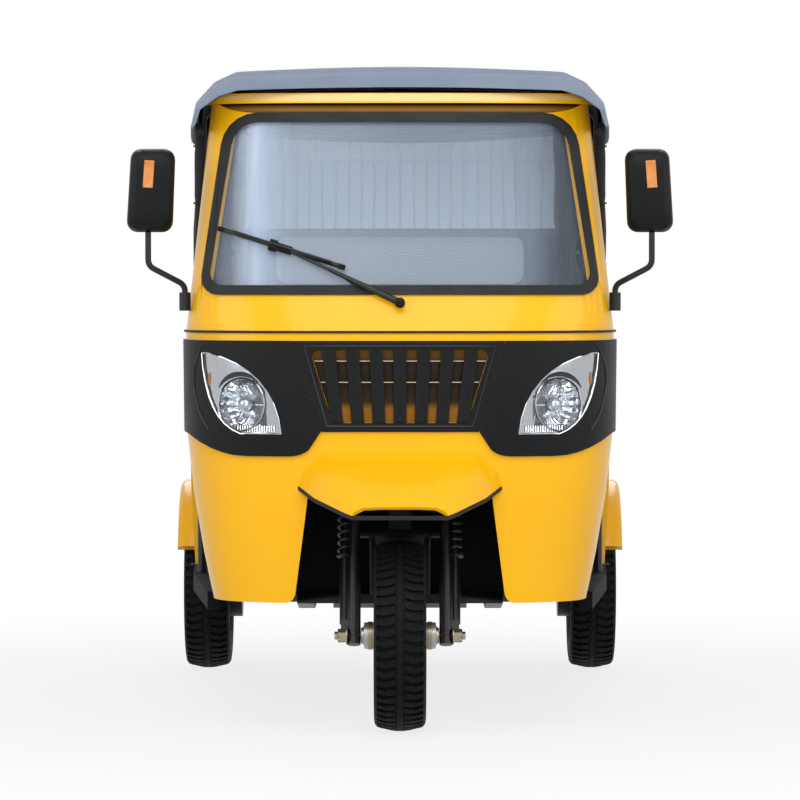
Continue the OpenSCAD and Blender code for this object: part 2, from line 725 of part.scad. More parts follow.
// Lamps
bowl_d = 66;
lens_in = 2;
bulb_shares = [0.724, 0.445];
reflector_r = 68;
module headlamp_bowls() {
    color(silver) placed() both() difference() {
        intersection() {
            front_wall(panel_low_z, panel_top_z, -bowl_d, -over);
            through(-body_w, cowl_side / 2) lamp_outline(-gap);
        }
        translate([bulb_shares[0] * body_w / 2,
            skin_y(bulb_shares[0] * body_w / 2, panel_low_z + bulb_shares[1] * panel_h, 0),
            panel_low_z + bulb_shares[1] * panel_h]) sphere(r = reflector_r);
    }
}
module headlamp_lenses() {
    color(clear) placed() both() intersection() {
        front_wall(panel_low_z, panel_top_z, gap - over, panel_t - lens_in);
        through(-body_w, cowl_side / 2) lamp_outline(-gap);
    }
}
tail_z = 600;
tail_h = 170;
tail_w = 86;
tail_x = 430;
tail_t = 26;
tail_r = 14;
module tail_lamps() {
    color(red) placed() both() intersection() {
        tub_wall(tail_z - over, tail_z + tail_h + over, gap, tail_t);
        through(wheelbase, rear_end) polygon(rounded([[tail_x, tail_z], [tail_x + tail_w, tail_z],
            [tail_x + tail_w, tail_z + tail_h], [tail_x, tail_z + tail_h]], [tail_r]));
    }
}

// Mirrors: a clamp on each pillar, a bent arm, a head with an amber lamp, and the glass
clamp_r = 15;
clamp_h = 48;
clamp_z = 1078;
clamp_y = 185;
arm_reach = 52;
arm_rise_shares = [0.12, 0.44, 0.62];
mirror_y = 140;
mirror_r = 28;
mirror_slant = 13;
mirror_slant_share = 0.6;
mirror_wall = 7;
clamp_x = side_x(clamp_y, clamp_z, 0) + clamp_r + gap;
function mirror_outline(s) = let (w = mirror_w / 2 * s, h = mirror_h / 2 * s)
    rounded([[mirror_slant * mirror_slant_share * s - w, -h], [w + mirror_slant * s, -h], [w, h], [-w, h]],
        [mirror_r * s]);
function mirror_ring(s, y) = [for (p = turned(mirror_outline(s)))
    [p[0] + mirror_x, y, p[1] + mirror_z + mirror_h / 2]];
arm_top = clamp_z + clamp_h;
arm_h = mirror_z - arm_top;
module mirror_arms() {
    color(black) placed() both() {
        translate([clamp_x, clamp_y, clamp_z]) cylinder(r = clamp_r, h = clamp_h);
        tube(bent([[clamp_x, clamp_y, arm_top - over], [clamp_x, clamp_y, arm_top + arm_rise_shares[0] * arm_h],
            [mirror_x + mirror_slant, mirror_y, arm_top + arm_rise_shares[1] * arm_h],
            [mirror_x + mirror_slant, mirror_y, mirror_z - gap]], arm_reach / 3), mirror_arm_r, [0, 1, 0]);
    }
}
mirror_shares = [
    // narrowing from the glass to the nose, and the depth
    [1.00, 0.50], [1.00, 0.05], [0.93, -0.28], [0.78, -0.44], [0.60, -0.50]];
lamp_x = 10;
lamp_w = 27;
lamp_h = 72;
lamp_z = 66;
lamp_lean = -4;
module mirror_lamp(o) {
    translate([mirror_x + lamp_x, mirror_y - mirror_d / 2, mirror_z + mirror_h - lamp_z])
        rotate([0, lamp_lean, 0]) cube([lamp_w + 2 * o, mirror_d / 2 + o, lamp_h + 2 * o], center = true);
}
module mirror_form() {
    skin([for (s = mirror_shares) mirror_ring(s[0], mirror_y + s[1] * mirror_d)]);
}
module mirror_heads() {
    color(black) placed() both() difference() {
        mirror_form();
        skin([mirror_ring(1 - mirror_wall * 2 / mirror_w, mirror_y + mirror_d / 2 + over),
            mirror_ring(1 - mirror_wall * 2 / mirror_w, mirror_y + mirror_d / 2 - mirror_wall)]);
        mirror_lamp(0);
    }
}
module mirror_glasses() {
    color(silver) placed() both() skin([
        mirror_ring(1 - mirror_wall * 2 / mirror_w - gap / mirror_w * 2, mirror_y + mirror_d / 2 - over),
        mirror_ring(1 - mirror_wall * 2 / mirror_w - gap / mirror_w * 2,
            mirror_y + mirror_d / 2 - mirror_wall + gap)]);
}
module mirror_lamps() {
    color(amber) placed() both() intersection() {
        mirror_lamp(-gap);
        mirror_form();
    }
}

// Dashboard across the front under the windscreen
dash_z = 1000;
dash_h = 60;
dash_y = 88;
fit_gap = 1;
pod_x = 105;
pod_h = 46;
pod_l = 52;
module dashboard() {
    color(black) placed() union() {
        intersection() {
            front_room(dash_z, dash_z + dash_h, -wall_t - fit_gap, cowl_side);
            block(-body_w, body_w, -body_w, dash_y, dash_z, dash_z + dash_h);
        }
        block(-pod_x, pod_x, dash_y - pod_l, dash_y, dash_z + dash_h / 2, dash_z + dash_h + pod_h);
    }
}

// Seat bases, cushions and backrests
cushion_h = 80;
cushion_r = 36;
base_in = 24;
back_t = 62;
back_gap = 20;
strut_w = 30;
strut_t = 12;
strut_x = 120;
strut_drop = 40;
panel_w = 18;
bench_in = 70;
bench_back_t = 82;
bench_top = bench_z - cushion_h - gap;
bench_back_y = quarter_y + bench_l + bench_in / 3;
seat_end = seat_y + seat_l;
module seat_bases() {
    color(vinyl) placed() {
        union() {
            block(base_in - seat_w / 2, seat_w / 2 - base_in, seat_y + base_in, seat_end + gap, floor_top,
                seat_z - cushion_h - gap);
            both() block(strut_x - strut_w / 2, strut_x + strut_w / 2, seat_end, seat_end + strut_t, floor_top,
                back_z - strut_drop);
        }
        union() {
            block(bench_in - bench_w / 2, bench_w / 2 - bench_in, quarter_y + panel_w, quarter_y + 2 * panel_w,
                floor_top, bench_top);
            block(bench_in - bench_w / 2, bench_w / 2 - bench_in, quarter_y + panel_w,
                bench_back_y + bench_back_t + gap + panel_w, bench_top - panel_w, bench_top);
            block(bench_in - bench_w / 2, bench_w / 2 - bench_in, bench_back_y + bench_back_t + gap,
                bench_back_y + bench_back_t + gap + panel_w, bench_top - panel_w, bench_back_z - strut_drop);
        }
    }
}
module seat_cushions() {
    color(vinyl) placed() {
        cushion(seat_w / 2, seat_y, seat_end - gap, seat_z - cushion_h, seat_z, cushion_r);
        cushion(bench_w / 2, quarter_y + gap, bench_back_y - gap, bench_z - cushion_h, bench_z, cushion_r);
    }
}
module seat_backrests() {
    color(vinyl) placed() {
        translate([0, seat_end - gap, 0]) rotate([90, 0, 0])
            cushion(seat_w / 2, seat_z + back_gap, back_z, 0, back_t, cushion_r);
        translate([0, bench_back_y + bench_back_t, 0]) rotate([90, 0, 0])
            cushion(bench_w / 2, bench_z + gap, bench_back_z, 0, bench_back_t, cushion_r);
    }
}

// Rear body with its wheel openings and the lid's opening
rear_cut = 430;
hinge_l = 60;
leaf_share = 1.8;
hinge_x = 200;
hinge_y = column(tub_rows, lid_z + lid_h, 2) + gap;
hinge_z = lid_z + lid_h;
module lid_outline(o) {
    polygon(rounded([[o - lid_w / 2, lid_z + o], [lid_w / 2 - o, lid_z + o],
        [lid_w / 2 - o, lid_z + lid_h - o], [o - lid_w / 2, lid_z + lid_h - o]], [tail_r]));
}
module rear_tub() {
    color(yellow) placed() union() {
        difference() {
            tub_wall(tub_low, tub_z, -wall_t, 0);
            both() rod_x(tub_w / 4, tub_w, wheelbase, wheel_r, rear_arch_r);
            block(-tub_w, tub_w, wheelbase + wheel_r / 2, rear_end, floor_z, rear_cut);
            through(wheelbase, rear_end) lid_outline(0);
        }
        both() {
            rod_x(hinge_x + gap, hinge_x + hinge_l, hinge_y + barrel_r, hinge_z + barrel_r, barrel_r);
            block(hinge_x + gap, hinge_x + hinge_l, hinge_y - barrel_r, hinge_y + barrel_r,
                hinge_z + barrel_r / 2, hinge_z + barrel_r * leaf_share);
        }
    }
}
module engine_lid() {
    color(yellow) placed() union() {
        intersection() {
            tub_wall(lid_z, lid_z + lid_h, -wall_t, 0);
            through(wheelbase, rear_end) lid_outline(lid_gap);
        }
        both() {
            rod_x(hinge_x - hinge_l, hinge_x - gap, hinge_y + barrel_r, hinge_z + barrel_r, barrel_r);
            block(hinge_x - hinge_l, hinge_x - gap, hinge_y - barrel_r, hinge_y + barrel_r,
                hinge_z - lid_gap * 3, hinge_z - lid_gap);
            block(hinge_x - hinge_l, hinge_x - gap, hinge_y + barrel_r / 3, hinge_y + barrel_r,
                hinge_z - lid_gap * 3, hinge_z + barrel_r);
        }
    }
}
fender_from = 10;
fender_to = 155;
fender_in_x = 40;
fender_edge = 16;
module rear_fenders() {
    color(yellow) placed() both() difference() {
        translate([0, wheelbase, wheel_r]) rotate([0, 90, 0]) rotate([0, 0, 90])
            rotate_extrude(angle = fender_to - fender_from, start = fender_from)
                polygon([[fender_in_r, tub_w / 2 - fender_in_x], [fender_r, tub_w / 2 - fender_in_x],
                    [fender_r, fender_w / 2 - fender_edge],
                    [fender_r - fender_edge / 3, fender_w / 2 - fender_edge / 3],
                    [fender_r - fender_edge, fender_w / 2], [fender_in_r, fender_w / 2]]);
        tub_room(tub_low - over, tub_z, gap, quarter_y - over);
    }
}
stub_r = 14;
module rear_bumper() {
    color(black) placed() union() {
        rod_x(-bumper_x, bumper_x, rear_end - bumper_r, floor_z - rail_h / 2, bumper_r);
        both() rod_y(rail_x, rail_end, rear_end - bumper_r, floor_z - rail_h / 2, stub_r);
    }
}
tow_w = 60;
tow_t = 12;
tow_l = 70;
module tow_eye() {
    color(steel) placed() difference() {
        block(-tow_w / 2, tow_w / 2, rail_end - cross_w, rail_end + tow_l, rail_z - tow_t, rail_z);
        translate([0, rail_end + tow_l - tow_w / 2, rail_z - tow_t - over])
            cylinder(r = tow_r, h = tow_t + 2 * over);
    }
}

// Hood: padded canvas roof, rear canvas with its window, tube frame and the pleated curtain
function roof_line(s, o) = let (x = hood_front_x + s[1] * (hood_x - hood_front_x) - o)
    concat([for (p = turned(roof_shares)) [p[0] * x, p[1], p[0]]],
        [for (i = [1:len(roof_shares) - 1]) [-roof_shares[i][0] * x, roof_shares[i][1], roof_shares[i][0]]]);
function roof_ring(s, o) = [for (p = roof_line(s, o))
    [p[0], s[0] * hood_len + s[3] * o,
        eave_z + s[2] * (height - eave_z) * (1 - p[1]) - o * (1 - pow(p[2], 6))]];
// The roof's shell between two depths under its outer face
module roof_shell(o0, o1) {
    wall([for (s = hood_shares) roof_ring(s, o0)], [for (s = hood_shares) roof_ring(s, o1)]);
}
module hood_roof() {
    color(canvas) placed() roof_shell(0, hood_t);
}
window_r = 40;
module window_outline(o) {
    polygon(rounded([[o - window_w / 2, window_z + o], [window_w / 2 - o, window_z + o],
        [window_w / 2 - o, window_z + window_h - o], [o - window_w / 2, window_z + window_h - o]], [window_r]));
}
module hood_curtain() {
    color(canvas) placed() difference() {
        tub_wall(tub_z + gap, tub_high, -hood_t - canvas_t, -hood_t);
        through(wheelbase, rear_end) window_outline(0);
    }
}
module rear_window() {
    color(clear) placed() intersection() {
        tub_wall(window_z - over, window_z + window_h + over, -hood_t - canvas_t, -hood_t);
        through(wheelbase, rear_end) window_outline(gap);
    }
}
hoop_in = 10;
bow_gap = 0.65;
rear_hoop_share = 0.20;
rear_hoop_y = wheelbase + rear_hoop_share * tub_reach;
rear_leg_x = 552;
foot_h = 12;
foot_share = 2.5;
side_tube_share = 0.92;
bow_tube_share = 0.96;
bow_shares = [0.250, 0.720];
function hood_at(t) = [t, lookup(t, [for (s = hood_shares) [s[0], s[1]]]),
    lookup(t, [for (s = hood_shares) [s[0], s[2]]]), 0];
function inset(p, d) = [for (i = [0:len(p) - 1]) p[i] + d * cross(heading(p, i), [0, 1, 0])];
function bow(t) = inset(roof_ring(hood_at(t), hood_t), tube_r + bow_gap);
function leg_at(t) = t * hood_len > (hoop_y + quarter_y) / 2 ? rear_leg_x : bow(t)[0][0] - hoop_in;
function hoop(t, x, z) = let (b = bow(t), n = len(b) - 1, f = [x, b[0][1], z])
    concat([f, [f[0], f[1], eave_z - hoop_in]],
        [for (i = [1:n - 1]) [sign(b[i][0]) * min(abs(b[i][0]), x), b[i][1], b[i][2]]],
        [[-f[0], f[1], eave_z - hoop_in], [-f[0], f[1], z]]);
rail_shares = [0.140, 0.250, 0.470, 0.620, 0.915];
curtain_rise = 36;
curtain_top = eave_z + curtain_rise;
curtain_y = rear_hoop_y - tube_r;
rail_bar_r = 8;
batten_h = 26;
module hood_frame() {
    color(steel) placed() union() {
        tube(hoop(hoop_y / hood_len, leg_at(hoop_y / hood_len), floor_top + gap), tube_r, [0, 1, 0]);
        tube(hoop(rear_hoop_y / hood_len, rear_leg_x, tub_z - foot_h * 3), tube_r, [0, 1, 0]);
        both() {
            tube([for (t = rail_shares) let (p = bow(t)[0])
                [leg_at(t), p[1], eave_z - hoop_in]], tube_r * side_tube_share, [0, 0, 1]);
            intersection() {
                block(rear_leg_x, tub_w / 2, rear_hoop_y - tube_r / 2, rear_hoop_y + tube_r / 2,
                    tub_z - foot_h * foot_share, tub_z - foot_h);
                tub_room(tub_z - foot_h * 4, tub_z, -wall_t - gap, quarter_y);
            }
        }
        for (t = bow_shares) tube(hoop(t, leg_at(t), eave_z - hoop_in * 2), tube_r * bow_tube_share, [0, 1, 0]);
        rod_x(-rear_leg_x, rear_leg_x, curtain_y, curtain_top + rail_bar_r, rail_bar_r);
        block(-rear_leg_x, rear_leg_x, curtain_y - rail_bar_r, curtain_y + rail_bar_r,
            curtain_top - curtain_h - gap - batten_h, curtain_top - curtain_h - gap);
    }
}
module rear_curtain() {
    color(curtain_grey) placed()
        block(-curtain_w / 2, curtain_w / 2, curtain_y - curtain_t / 2, curtain_y + curtain_t / 2,
            curtain_top - curtain_h, curtain_top - gap);
}

// Engine block with its output stubs, and the silencer
stub_out_r = 40;
pipe_r = 17;
muffler_r = 48;
muffler_x = 70;
muffler_l = 230;
muffler_z = 232;
muffler_y = 26;
pipe_x = 120;
pipe_end = 8;
pipe_drop_share = 1.2;
shaft_in = 215;
module engine() {
    color(steel) placed() union() {
        union() {
            block(-engine_w / 2, engine_w / 2, engine_y, engine_y + engine_l, engine_z, engine_z + engine_h);
            both() rod_x(engine_w / 2 - over, shaft_in - gap, wheelbase, wheel_r, stub_out_r);
        }
        rod_x(muffler_x, muffler_x + muffler_l, rail_end + muffler_y + muffler_r / 2, muffler_z, muffler_r);
        rod_y(pipe_x, engine_y + engine_l + gap, rail_end + muffler_y, rail_z - pipe_r * pipe_drop_share,
            pipe_r);
        rod_y(muffler_x + muffler_l - pipe_r * 2, rail_end + muffler_y, rear_end - pipe_end, muffler_z, pipe_r);
    }
}

// Rear suspension: trailing arms with their bearing housings, and the shock absorbers
sleeve_r = 22;
sleeve_l = 120;
sleeve_x = 290;
arm_t = 44;
bearing_r = 40;
bearing_x = 420;
bearing_l = 44;
eye_z = 40;
shock_r = 26;
shock_seat = 6;
shock_x = 395;
wire_n = 6;
wire_r = 6;
arm_a = [sleeve_x + sleeve_l / 2, arm_cross_y, rail_z - gap - sleeve_r];
arm_b = [bearing_x + bearing_l / 2, wheelbase, wheel_r];
module arm_bar() {
    v = arm_b - arm_a;
    translate(arm_a) rotate([0, acos(v[2] / norm(v)), atan2(v[1], v[0])])
        translate([-arm_rise / 2, -arm_t / 2, 0]) cube([arm_rise, arm_t, norm(v)]);
}
arm_rise = 38;
shock_y = wheelbase - tower_y;
shock_foot = 288;
// A spring's outer shape: ridges from one height to another
module coil(n, z0, z1, r, w) {
    rotate_extrude() polygon(concat([[0, z0]],
        [for (i = [0:n - 1]) let (a = z0 + (z1 - z0) * i / n, h = (z1 - z0) / n)
            each [[r - w, a], [r, a + h / 4], [r, a + h * 3 / 4], [r - w, a + h]]], [[0, z1]]));
}
module rear_suspension() {
    color(steel) placed() both() union() {
        difference() {
            union() {
                rod_x(sleeve_x, sleeve_x + sleeve_l, arm_a[1], arm_a[2], sleeve_r);
                arm_bar();
                rod_x(bearing_x, bearing_x + bearing_l, wheelbase, wheel_r, bearing_r);
                translate([shock_x, shock_y, shock_foot - eye_z]) cylinder(r = shock_r, h = eye_z);
            }
            rod_x(bearing_x - arm_t, bearing_x + bearing_l + over, wheelbase, wheel_r, shaft_r + run_gap);
        }
        translate([shock_x, shock_y, tower_z - gap - shock_seat]) cylinder(r = shock_r, h = shock_seat);
        translate([shock_x, shock_y, 0])
            coil(wire_n, shock_foot, tower_z - gap - shock_seat, shock_r, wire_r);
    }
}

// Steering: fork with its crown, stem and axle, the springs, the wheel's own guard and the handlebar
axle_y = -axis_offset * cos(rake);
axle_l = -axis_offset * sin(rake);
leg_x = fork_w / 2;
crown_t = 32;
crown_x = 168;
crown_front = 66;
crown_back = 44;
slider_top = 205;
slider_low = 24;
nut_r = 16;
nut_t = 13;
axle_x = 160;
shock_out = 24;
shock_back = 46;
damper_top = 212;
damper_low = 14;
damper_front_r = 14;
lug_h = 26;
lug_t = 10;
clamp_bar_r = 26;
clamp_bar_h = 44;
coil_n = 7;
coil_w = 5;
module fork() {
    color(steel) placed() in_steering() union() {
        block(-crown_x, crown_x, -crown_front, crown_back, crown_l, crown_l + crown_t);
        translate([0, 0, crown_l]) cylinder(r = stem_r, h = bar_l - crown_l + bar_r);
        both() translate([leg_x, axle_y, axle_l]) {
            translate([0, 0, -slider_low]) cylinder(r = slider_r, h = slider_top + slider_low);
            cylinder(r = fork_tube_r, h = crown_l - axle_l + crown_t / 2);
            translate([0, -lug_t, damper_low]) cube([shock_out + lug_t, shock_back + lug_t, lug_h]);
        }
        rod_x(-axle_x, axle_x, axle_y, axle_l, axle_r - run_gap);
        both() translate([axle_x - nut_t, axle_y, axle_l]) rotate([0, 90, 0])
            cylinder(r = nut_r, h = nut_t, $fn = 6);
    }
}
spring_foot = axle_l + damper_low + lug_h;
module fork_springs() {
    color(silver) placed() in_steering() both() translate([leg_x + shock_out, axle_y + shock_back, 0]) union() {
        translate([0, 0, spring_foot + gap]) cylinder(r = damper_front_r, h = damper_top - spring_foot);
        translate([0, 0, damper_top - coil_w]) cylinder(r = spring_r, h = coil_w);
        translate([0, 0, crown_l - gap - coil_w]) cylinder(r = spring_r, h = coil_w);
        coil(coil_n, damper_top, crown_l - gap - coil_w, spring_r, coil_w);
    }
}
guard_r = 272;
guard_wall = 4;
guard_w = 150;
guard_from = 38;
guard_to = 122;
stay_w = 22;
stay_t = 10;
module wheel_guard() {
    color(black) placed() in_steering() union() {
        translate([0, axle_y, axle_l]) rotate([0, 90, 0]) rotate([0, 0, 90])
            rotate_extrude(angle = guard_to - guard_from, start = guard_from)
                polygon([[guard_r - guard_wall * 4, -guard_w / 2],
                    [guard_r - guard_wall, -guard_w / 2 + guard_wall * 3],
                    [guard_r - guard_wall, guard_w / 2 - guard_wall * 3],
                    [guard_r - guard_wall * 4, guard_w / 2],
                    [guard_r - guard_wall * 3, guard_w / 2 + guard_wall],
                    [guard_r, guard_w / 2 - guard_wall * 2], [guard_r, guard_wall * 2 - guard_w / 2],
                    [guard_r - guard_wall * 3, -guard_w / 2 - guard_wall]]);
        both() block(guard_w / 2 - guard_wall * 2, leg_x - fork_tube_r - gap, axle_y - stay_w / 2,
            axle_y + stay_w / 2, axle_l + guard_r - stay_t, axle_l + guard_r);
    }
}
bar_rise = 38;
bar_sweep = 70;
bar_bend = 40;
grip_r = 17;
grip_l = 112;
bar_x_shares = [0.28, 0.50, 1];
sweep_share = 0.3;
rise_share = 1.2;
module handlebar() {
    p = bar_x_shares * bar_half_w;
    half = [[p[0], 0, bar_l], [p[1], bar_sweep * sweep_share, bar_l + bar_rise],
        [p[2], bar_sweep, bar_l + bar_rise * rise_share]];
    way = concat(flip_x(half), half);
    color(black) placed() in_steering() difference() {
        union() {
            tube(bent(way, bar_bend), bar_r, [0, 0, 1]);
            translate([0, 0, bar_l - clamp_bar_h / 2]) cylinder(r = clamp_bar_r, h = clamp_bar_h);
            both() rod(half[2] + unit(half[1] - half[2]) * grip_l, half[2] + unit(half[2] - half[1]) * over,
                grip_r);
        }
        translate([0, 0, bar_l - clamp_bar_h]) cylinder(r = stem_r + gap, h = clamp_bar_h + bar_r + gap);
    }
}

// Wheels: tyres, and rims with their hubs, drums and, at the back, half shafts
tread_share = 0.66;
bulge_share = 0.55;
crown_drop = 9;
shoulder = 20;
bead_share = 1.6;
shoulder_shares = [0.98, 0.8];
// Crown of the tread: drop and half width
crown_shares = [[0.25, 0.55], [0, 0.18]];
hub_r = 34;
hub_l = 92;
disc_t = 6;
flange_h = 14;
flange_t = 4;
barrel_t = 8;
drum_l = 44;
tyre_low = rim_r + gap;
function tyre_half() = let (w = tyre_w / 2, t = tread_share * w,
    b = rim_r + (wheel_r - rim_r) * bulge_share)
    concat([[tyre_low, rim_w / 2 - flange_t - gap], [tyre_low + flange_h, rim_w / 2 - flange_t - gap],
        [tyre_low + flange_h + over, rim_w / 2]],
        curve([tyre_low + flange_h * bead_share, rim_w / 2 + flange_t], [rim_r + flange_h * 2, w], [b, w]),
        curve([b + shoulder, w], [wheel_r - crown_drop, w * shoulder_shares[0]],
            [wheel_r - crown_drop * shoulder_shares[1], t]),
        [for (s = crown_shares) [wheel_r - crown_drop * s[0], t * s[1]]]);
module tyre() {
    h = tyre_half();
    rotate([0, 90, 0]) rotate_extrude() polygon(concat(h, turned([for (p = h) [p[0], -p[1]]])));
}
module rim_body() {
    w = rim_w / 2;
    rotate([0, 90, 0]) {
        rotate_extrude() polygon([[rim_r - barrel_t, -w], [rim_r + flange_h, -w],
            [rim_r + flange_h, flange_t - w], [rim_r, flange_t - w], [rim_r, w - flange_t],
            [rim_r + flange_h, w - flange_t], [rim_r + flange_h, w], [rim_r - barrel_t, w]]);
        translate([0, 0, -disc_t / 2]) cylinder(r = rim_r - barrel_t / 2, h = disc_t);
    }
}
module front_tyre() { color(rubber) placed() translate([0, 0, wheel_r]) tyre(); }
module front_rim() {
    color(silver) placed() translate([0, 0, wheel_r]) difference() {
        union() {
            rim_body();
            rod_x(-hub_l, hub_l, 0, 0, hub_r);
            rod_x(-drum_l, 0, 0, 0, drum_r);
        }
        rod_x(-hub_l - over, hub_l + over, 0, 0, axle_r);
    }
}
drum_x = 470;
cap_l = 30;
module rear_rim() {
    color(silver) placed() union() {
        translate([rear_track / 2, wheelbase, wheel_r]) rim_body();
        rod_x(drum_x, rear_track / 2, wheelbase, wheel_r, drum_r);
        rod_x(rear_track / 2, rear_track / 2 + cap_l, wheelbase, wheel_r, hub_r);
        rod_x(shaft_in, drum_x + over, wheelbase, wheel_r, shaft_r);
    }
}
module rear_tyre_left() { color(rubber) placed() translate([rear_track / 2, wheelbase, wheel_r]) tyre(); }
module rear_tyre_right() { color(rubber) placed() translate([-rear_track / 2, wheelbase, wheel_r]) tyre(); }
module rear_rim_left() { rear_rim(); }
module rear_rim_right() { mirror([1, 0, 0]) rear_rim(); }

chassis();
floor_pan();
wheel_house();
front_cowl();
lamp_panels();
grille();
body_piping();
mudguard();
screen_frame();
windscreen_seal();
windscreen();
wiper();
headlamp_bowls();
headlamp_lenses();
tail_lamps();
mirror_arms();
mirror_heads();
mirror_glasses();
mirror_lamps();
dashboard();
seat_bases();
seat_cushions();
seat_backrests();
rear_tub();
engine_lid();
rear_fenders();
rear_bumper();
tow_eye();
hood_roof();
hood_curtain();
rear_window();
hood_frame();
rear_curtain();
engine();
rear_suspension();
fork();
fork_springs();
wheel_guard();
handlebar();
front_tyre();
front_rim();
rear_tyre_left();
rear_rim_left();
rear_tyre_right();
rear_rim_right();
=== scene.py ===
import json
import math

import bpy
from mathutils import Matrix, Vector, geometry, noise
from mathutils.bvhtree import BVHTree

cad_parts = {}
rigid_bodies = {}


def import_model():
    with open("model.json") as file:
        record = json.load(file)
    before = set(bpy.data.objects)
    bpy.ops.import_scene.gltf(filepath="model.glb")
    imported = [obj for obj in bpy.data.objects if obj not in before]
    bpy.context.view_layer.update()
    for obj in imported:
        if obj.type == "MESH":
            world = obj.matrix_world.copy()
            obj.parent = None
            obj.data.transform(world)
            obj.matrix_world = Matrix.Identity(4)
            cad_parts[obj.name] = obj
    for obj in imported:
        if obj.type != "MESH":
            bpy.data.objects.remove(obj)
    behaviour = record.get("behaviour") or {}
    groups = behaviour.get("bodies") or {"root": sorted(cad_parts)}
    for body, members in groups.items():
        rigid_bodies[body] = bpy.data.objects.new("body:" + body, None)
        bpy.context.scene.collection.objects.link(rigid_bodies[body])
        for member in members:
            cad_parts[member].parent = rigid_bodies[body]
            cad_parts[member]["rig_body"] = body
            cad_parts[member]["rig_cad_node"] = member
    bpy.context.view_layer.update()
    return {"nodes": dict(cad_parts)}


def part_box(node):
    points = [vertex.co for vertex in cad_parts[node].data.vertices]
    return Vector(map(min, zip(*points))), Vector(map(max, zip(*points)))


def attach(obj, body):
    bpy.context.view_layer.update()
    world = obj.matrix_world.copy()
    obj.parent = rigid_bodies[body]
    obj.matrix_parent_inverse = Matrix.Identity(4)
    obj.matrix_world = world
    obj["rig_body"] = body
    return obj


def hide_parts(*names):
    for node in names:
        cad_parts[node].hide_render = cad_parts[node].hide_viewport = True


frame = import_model()
nodes = frame["nodes"]
mergeGap = 0.00002  # vertices closer than this are one
mirrored = Matrix.Diagonal((-1, 1, 1, 1))
print("frame loaded with", len(nodes), "solids")


def share(value):  # held between 0 and 1
    return max(0, min(1, value))


def mix(a, b, t):
    return a + (b - a) * t


def between(low, high, count):
    return [low + (high - low) * i / (count - 1) for i in range(count)]


def inMode(mode):
    bpy.ops.object.mode_set(mode=mode)


def deselectAll():
    if bpy.context.object and bpy.context.object.mode != "OBJECT":
        inMode("OBJECT")
    bpy.ops.object.select_all(action="DESELECT")
    bpy.context.view_layer.objects.active = None


def activate(piece):
    deselectAll()
    piece.select_set(True)
    bpy.context.view_layer.objects.active = piece


def editAll():  # edit mode with the whole mesh selected
    inMode("EDIT")
    bpy.ops.mesh.select_all(action="SELECT")


def applyPlace():
    bpy.ops.object.transform_apply(location=True, rotation=True, scale=True)


def named(name):
    piece = bpy.context.object
    piece.name = piece.data.name = name
    return piece


def modify(piece, kind, **settings):
    activate(piece)
    modifier = piece.modifiers.new(kind.lower(), kind)
    for key, value in settings.items():
        setattr(modifier, key, value)
    bpy.ops.object.modifier_apply(modifier=modifier.name)


def selectWhere(piece, kind, test):  # leaves edit mode on, with the faces or edges that pass the test selected
    activate(piece)
    inMode("EDIT")
    bpy.ops.mesh.select_mode(type=kind)
    bpy.ops.mesh.select_all(action="DESELECT")
    inMode("OBJECT")
    for part in piece.data.polygons if kind == "FACE" else piece.data.edges:
        part.select = bool(test(part))
    inMode("EDIT")


def moveVerts(piece, place):  # a sculpt-like move of every vertex
    for vertex in piece.data.vertices:
        vertex.co = place(vertex.co)
    piece.data.update()


def smooth(piece, angle=35):
    activate(piece)
    bpy.ops.object.shade_smooth_by_angle(angle=math.radians(angle))


def cleaned(piece):
    activate(piece)
    editAll()
    bpy.ops.mesh.remove_doubles(threshold=mergeGap)
    bpy.ops.mesh.normals_make_consistent(inside=False)
    inMode("OBJECT")


def takeNode(node, name, flat=0.4):  # a merged copy of a solid, for a finish that its loose triangles can't take
    activate(nodes[node])
    bpy.ops.object.duplicate()
    piece = named(name)
    bpy.ops.object.parent_clear(type="CLEAR_KEEP_TRANSFORM")
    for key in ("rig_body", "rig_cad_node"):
        del piece[key]
    inMode("EDIT")
    bpy.ops.mesh.customdata_custom_splitnormals_clear()
    bpy.ops.mesh.select_all(action="SELECT")
    bpy.ops.mesh.remove_doubles(threshold=mergeGap)
    bpy.ops.mesh.dissolve_limited(angle_limit=math.radians(flat))
    inMode("OBJECT")
    return piece


def cornerNormals(mesh):  # a look-up of the smooth shading normal nearest to a place on the mesh
    mesh.calc_loop_triangles()
    places = [vertex.co.copy() for vertex in mesh.vertices]
    normals = [corner.vector.copy() for corner in mesh.corner_normals]
    triangles = [(tuple(tri.vertices), tuple(tri.loops)) for tri in mesh.loop_triangles]
    tree = BVHTree.FromPolygons(places, [tri[0] for tri in triangles])

    def at(place):
        spot, _, index, _ = tree.find_nearest(place)
        corners = [places[v] for v in triangles[index][0]]
        ends = [normals[c] for c in triangles[index][1]]
        normal = geometry.barycentric_transform(spot, *corners, *ends)
        return normal.normalized() if normal.length > 0.1 else ends[0]
    return at


rolling = {"segments": 2, "angle": 38, "inward": 0.02, "alike": 0.5}


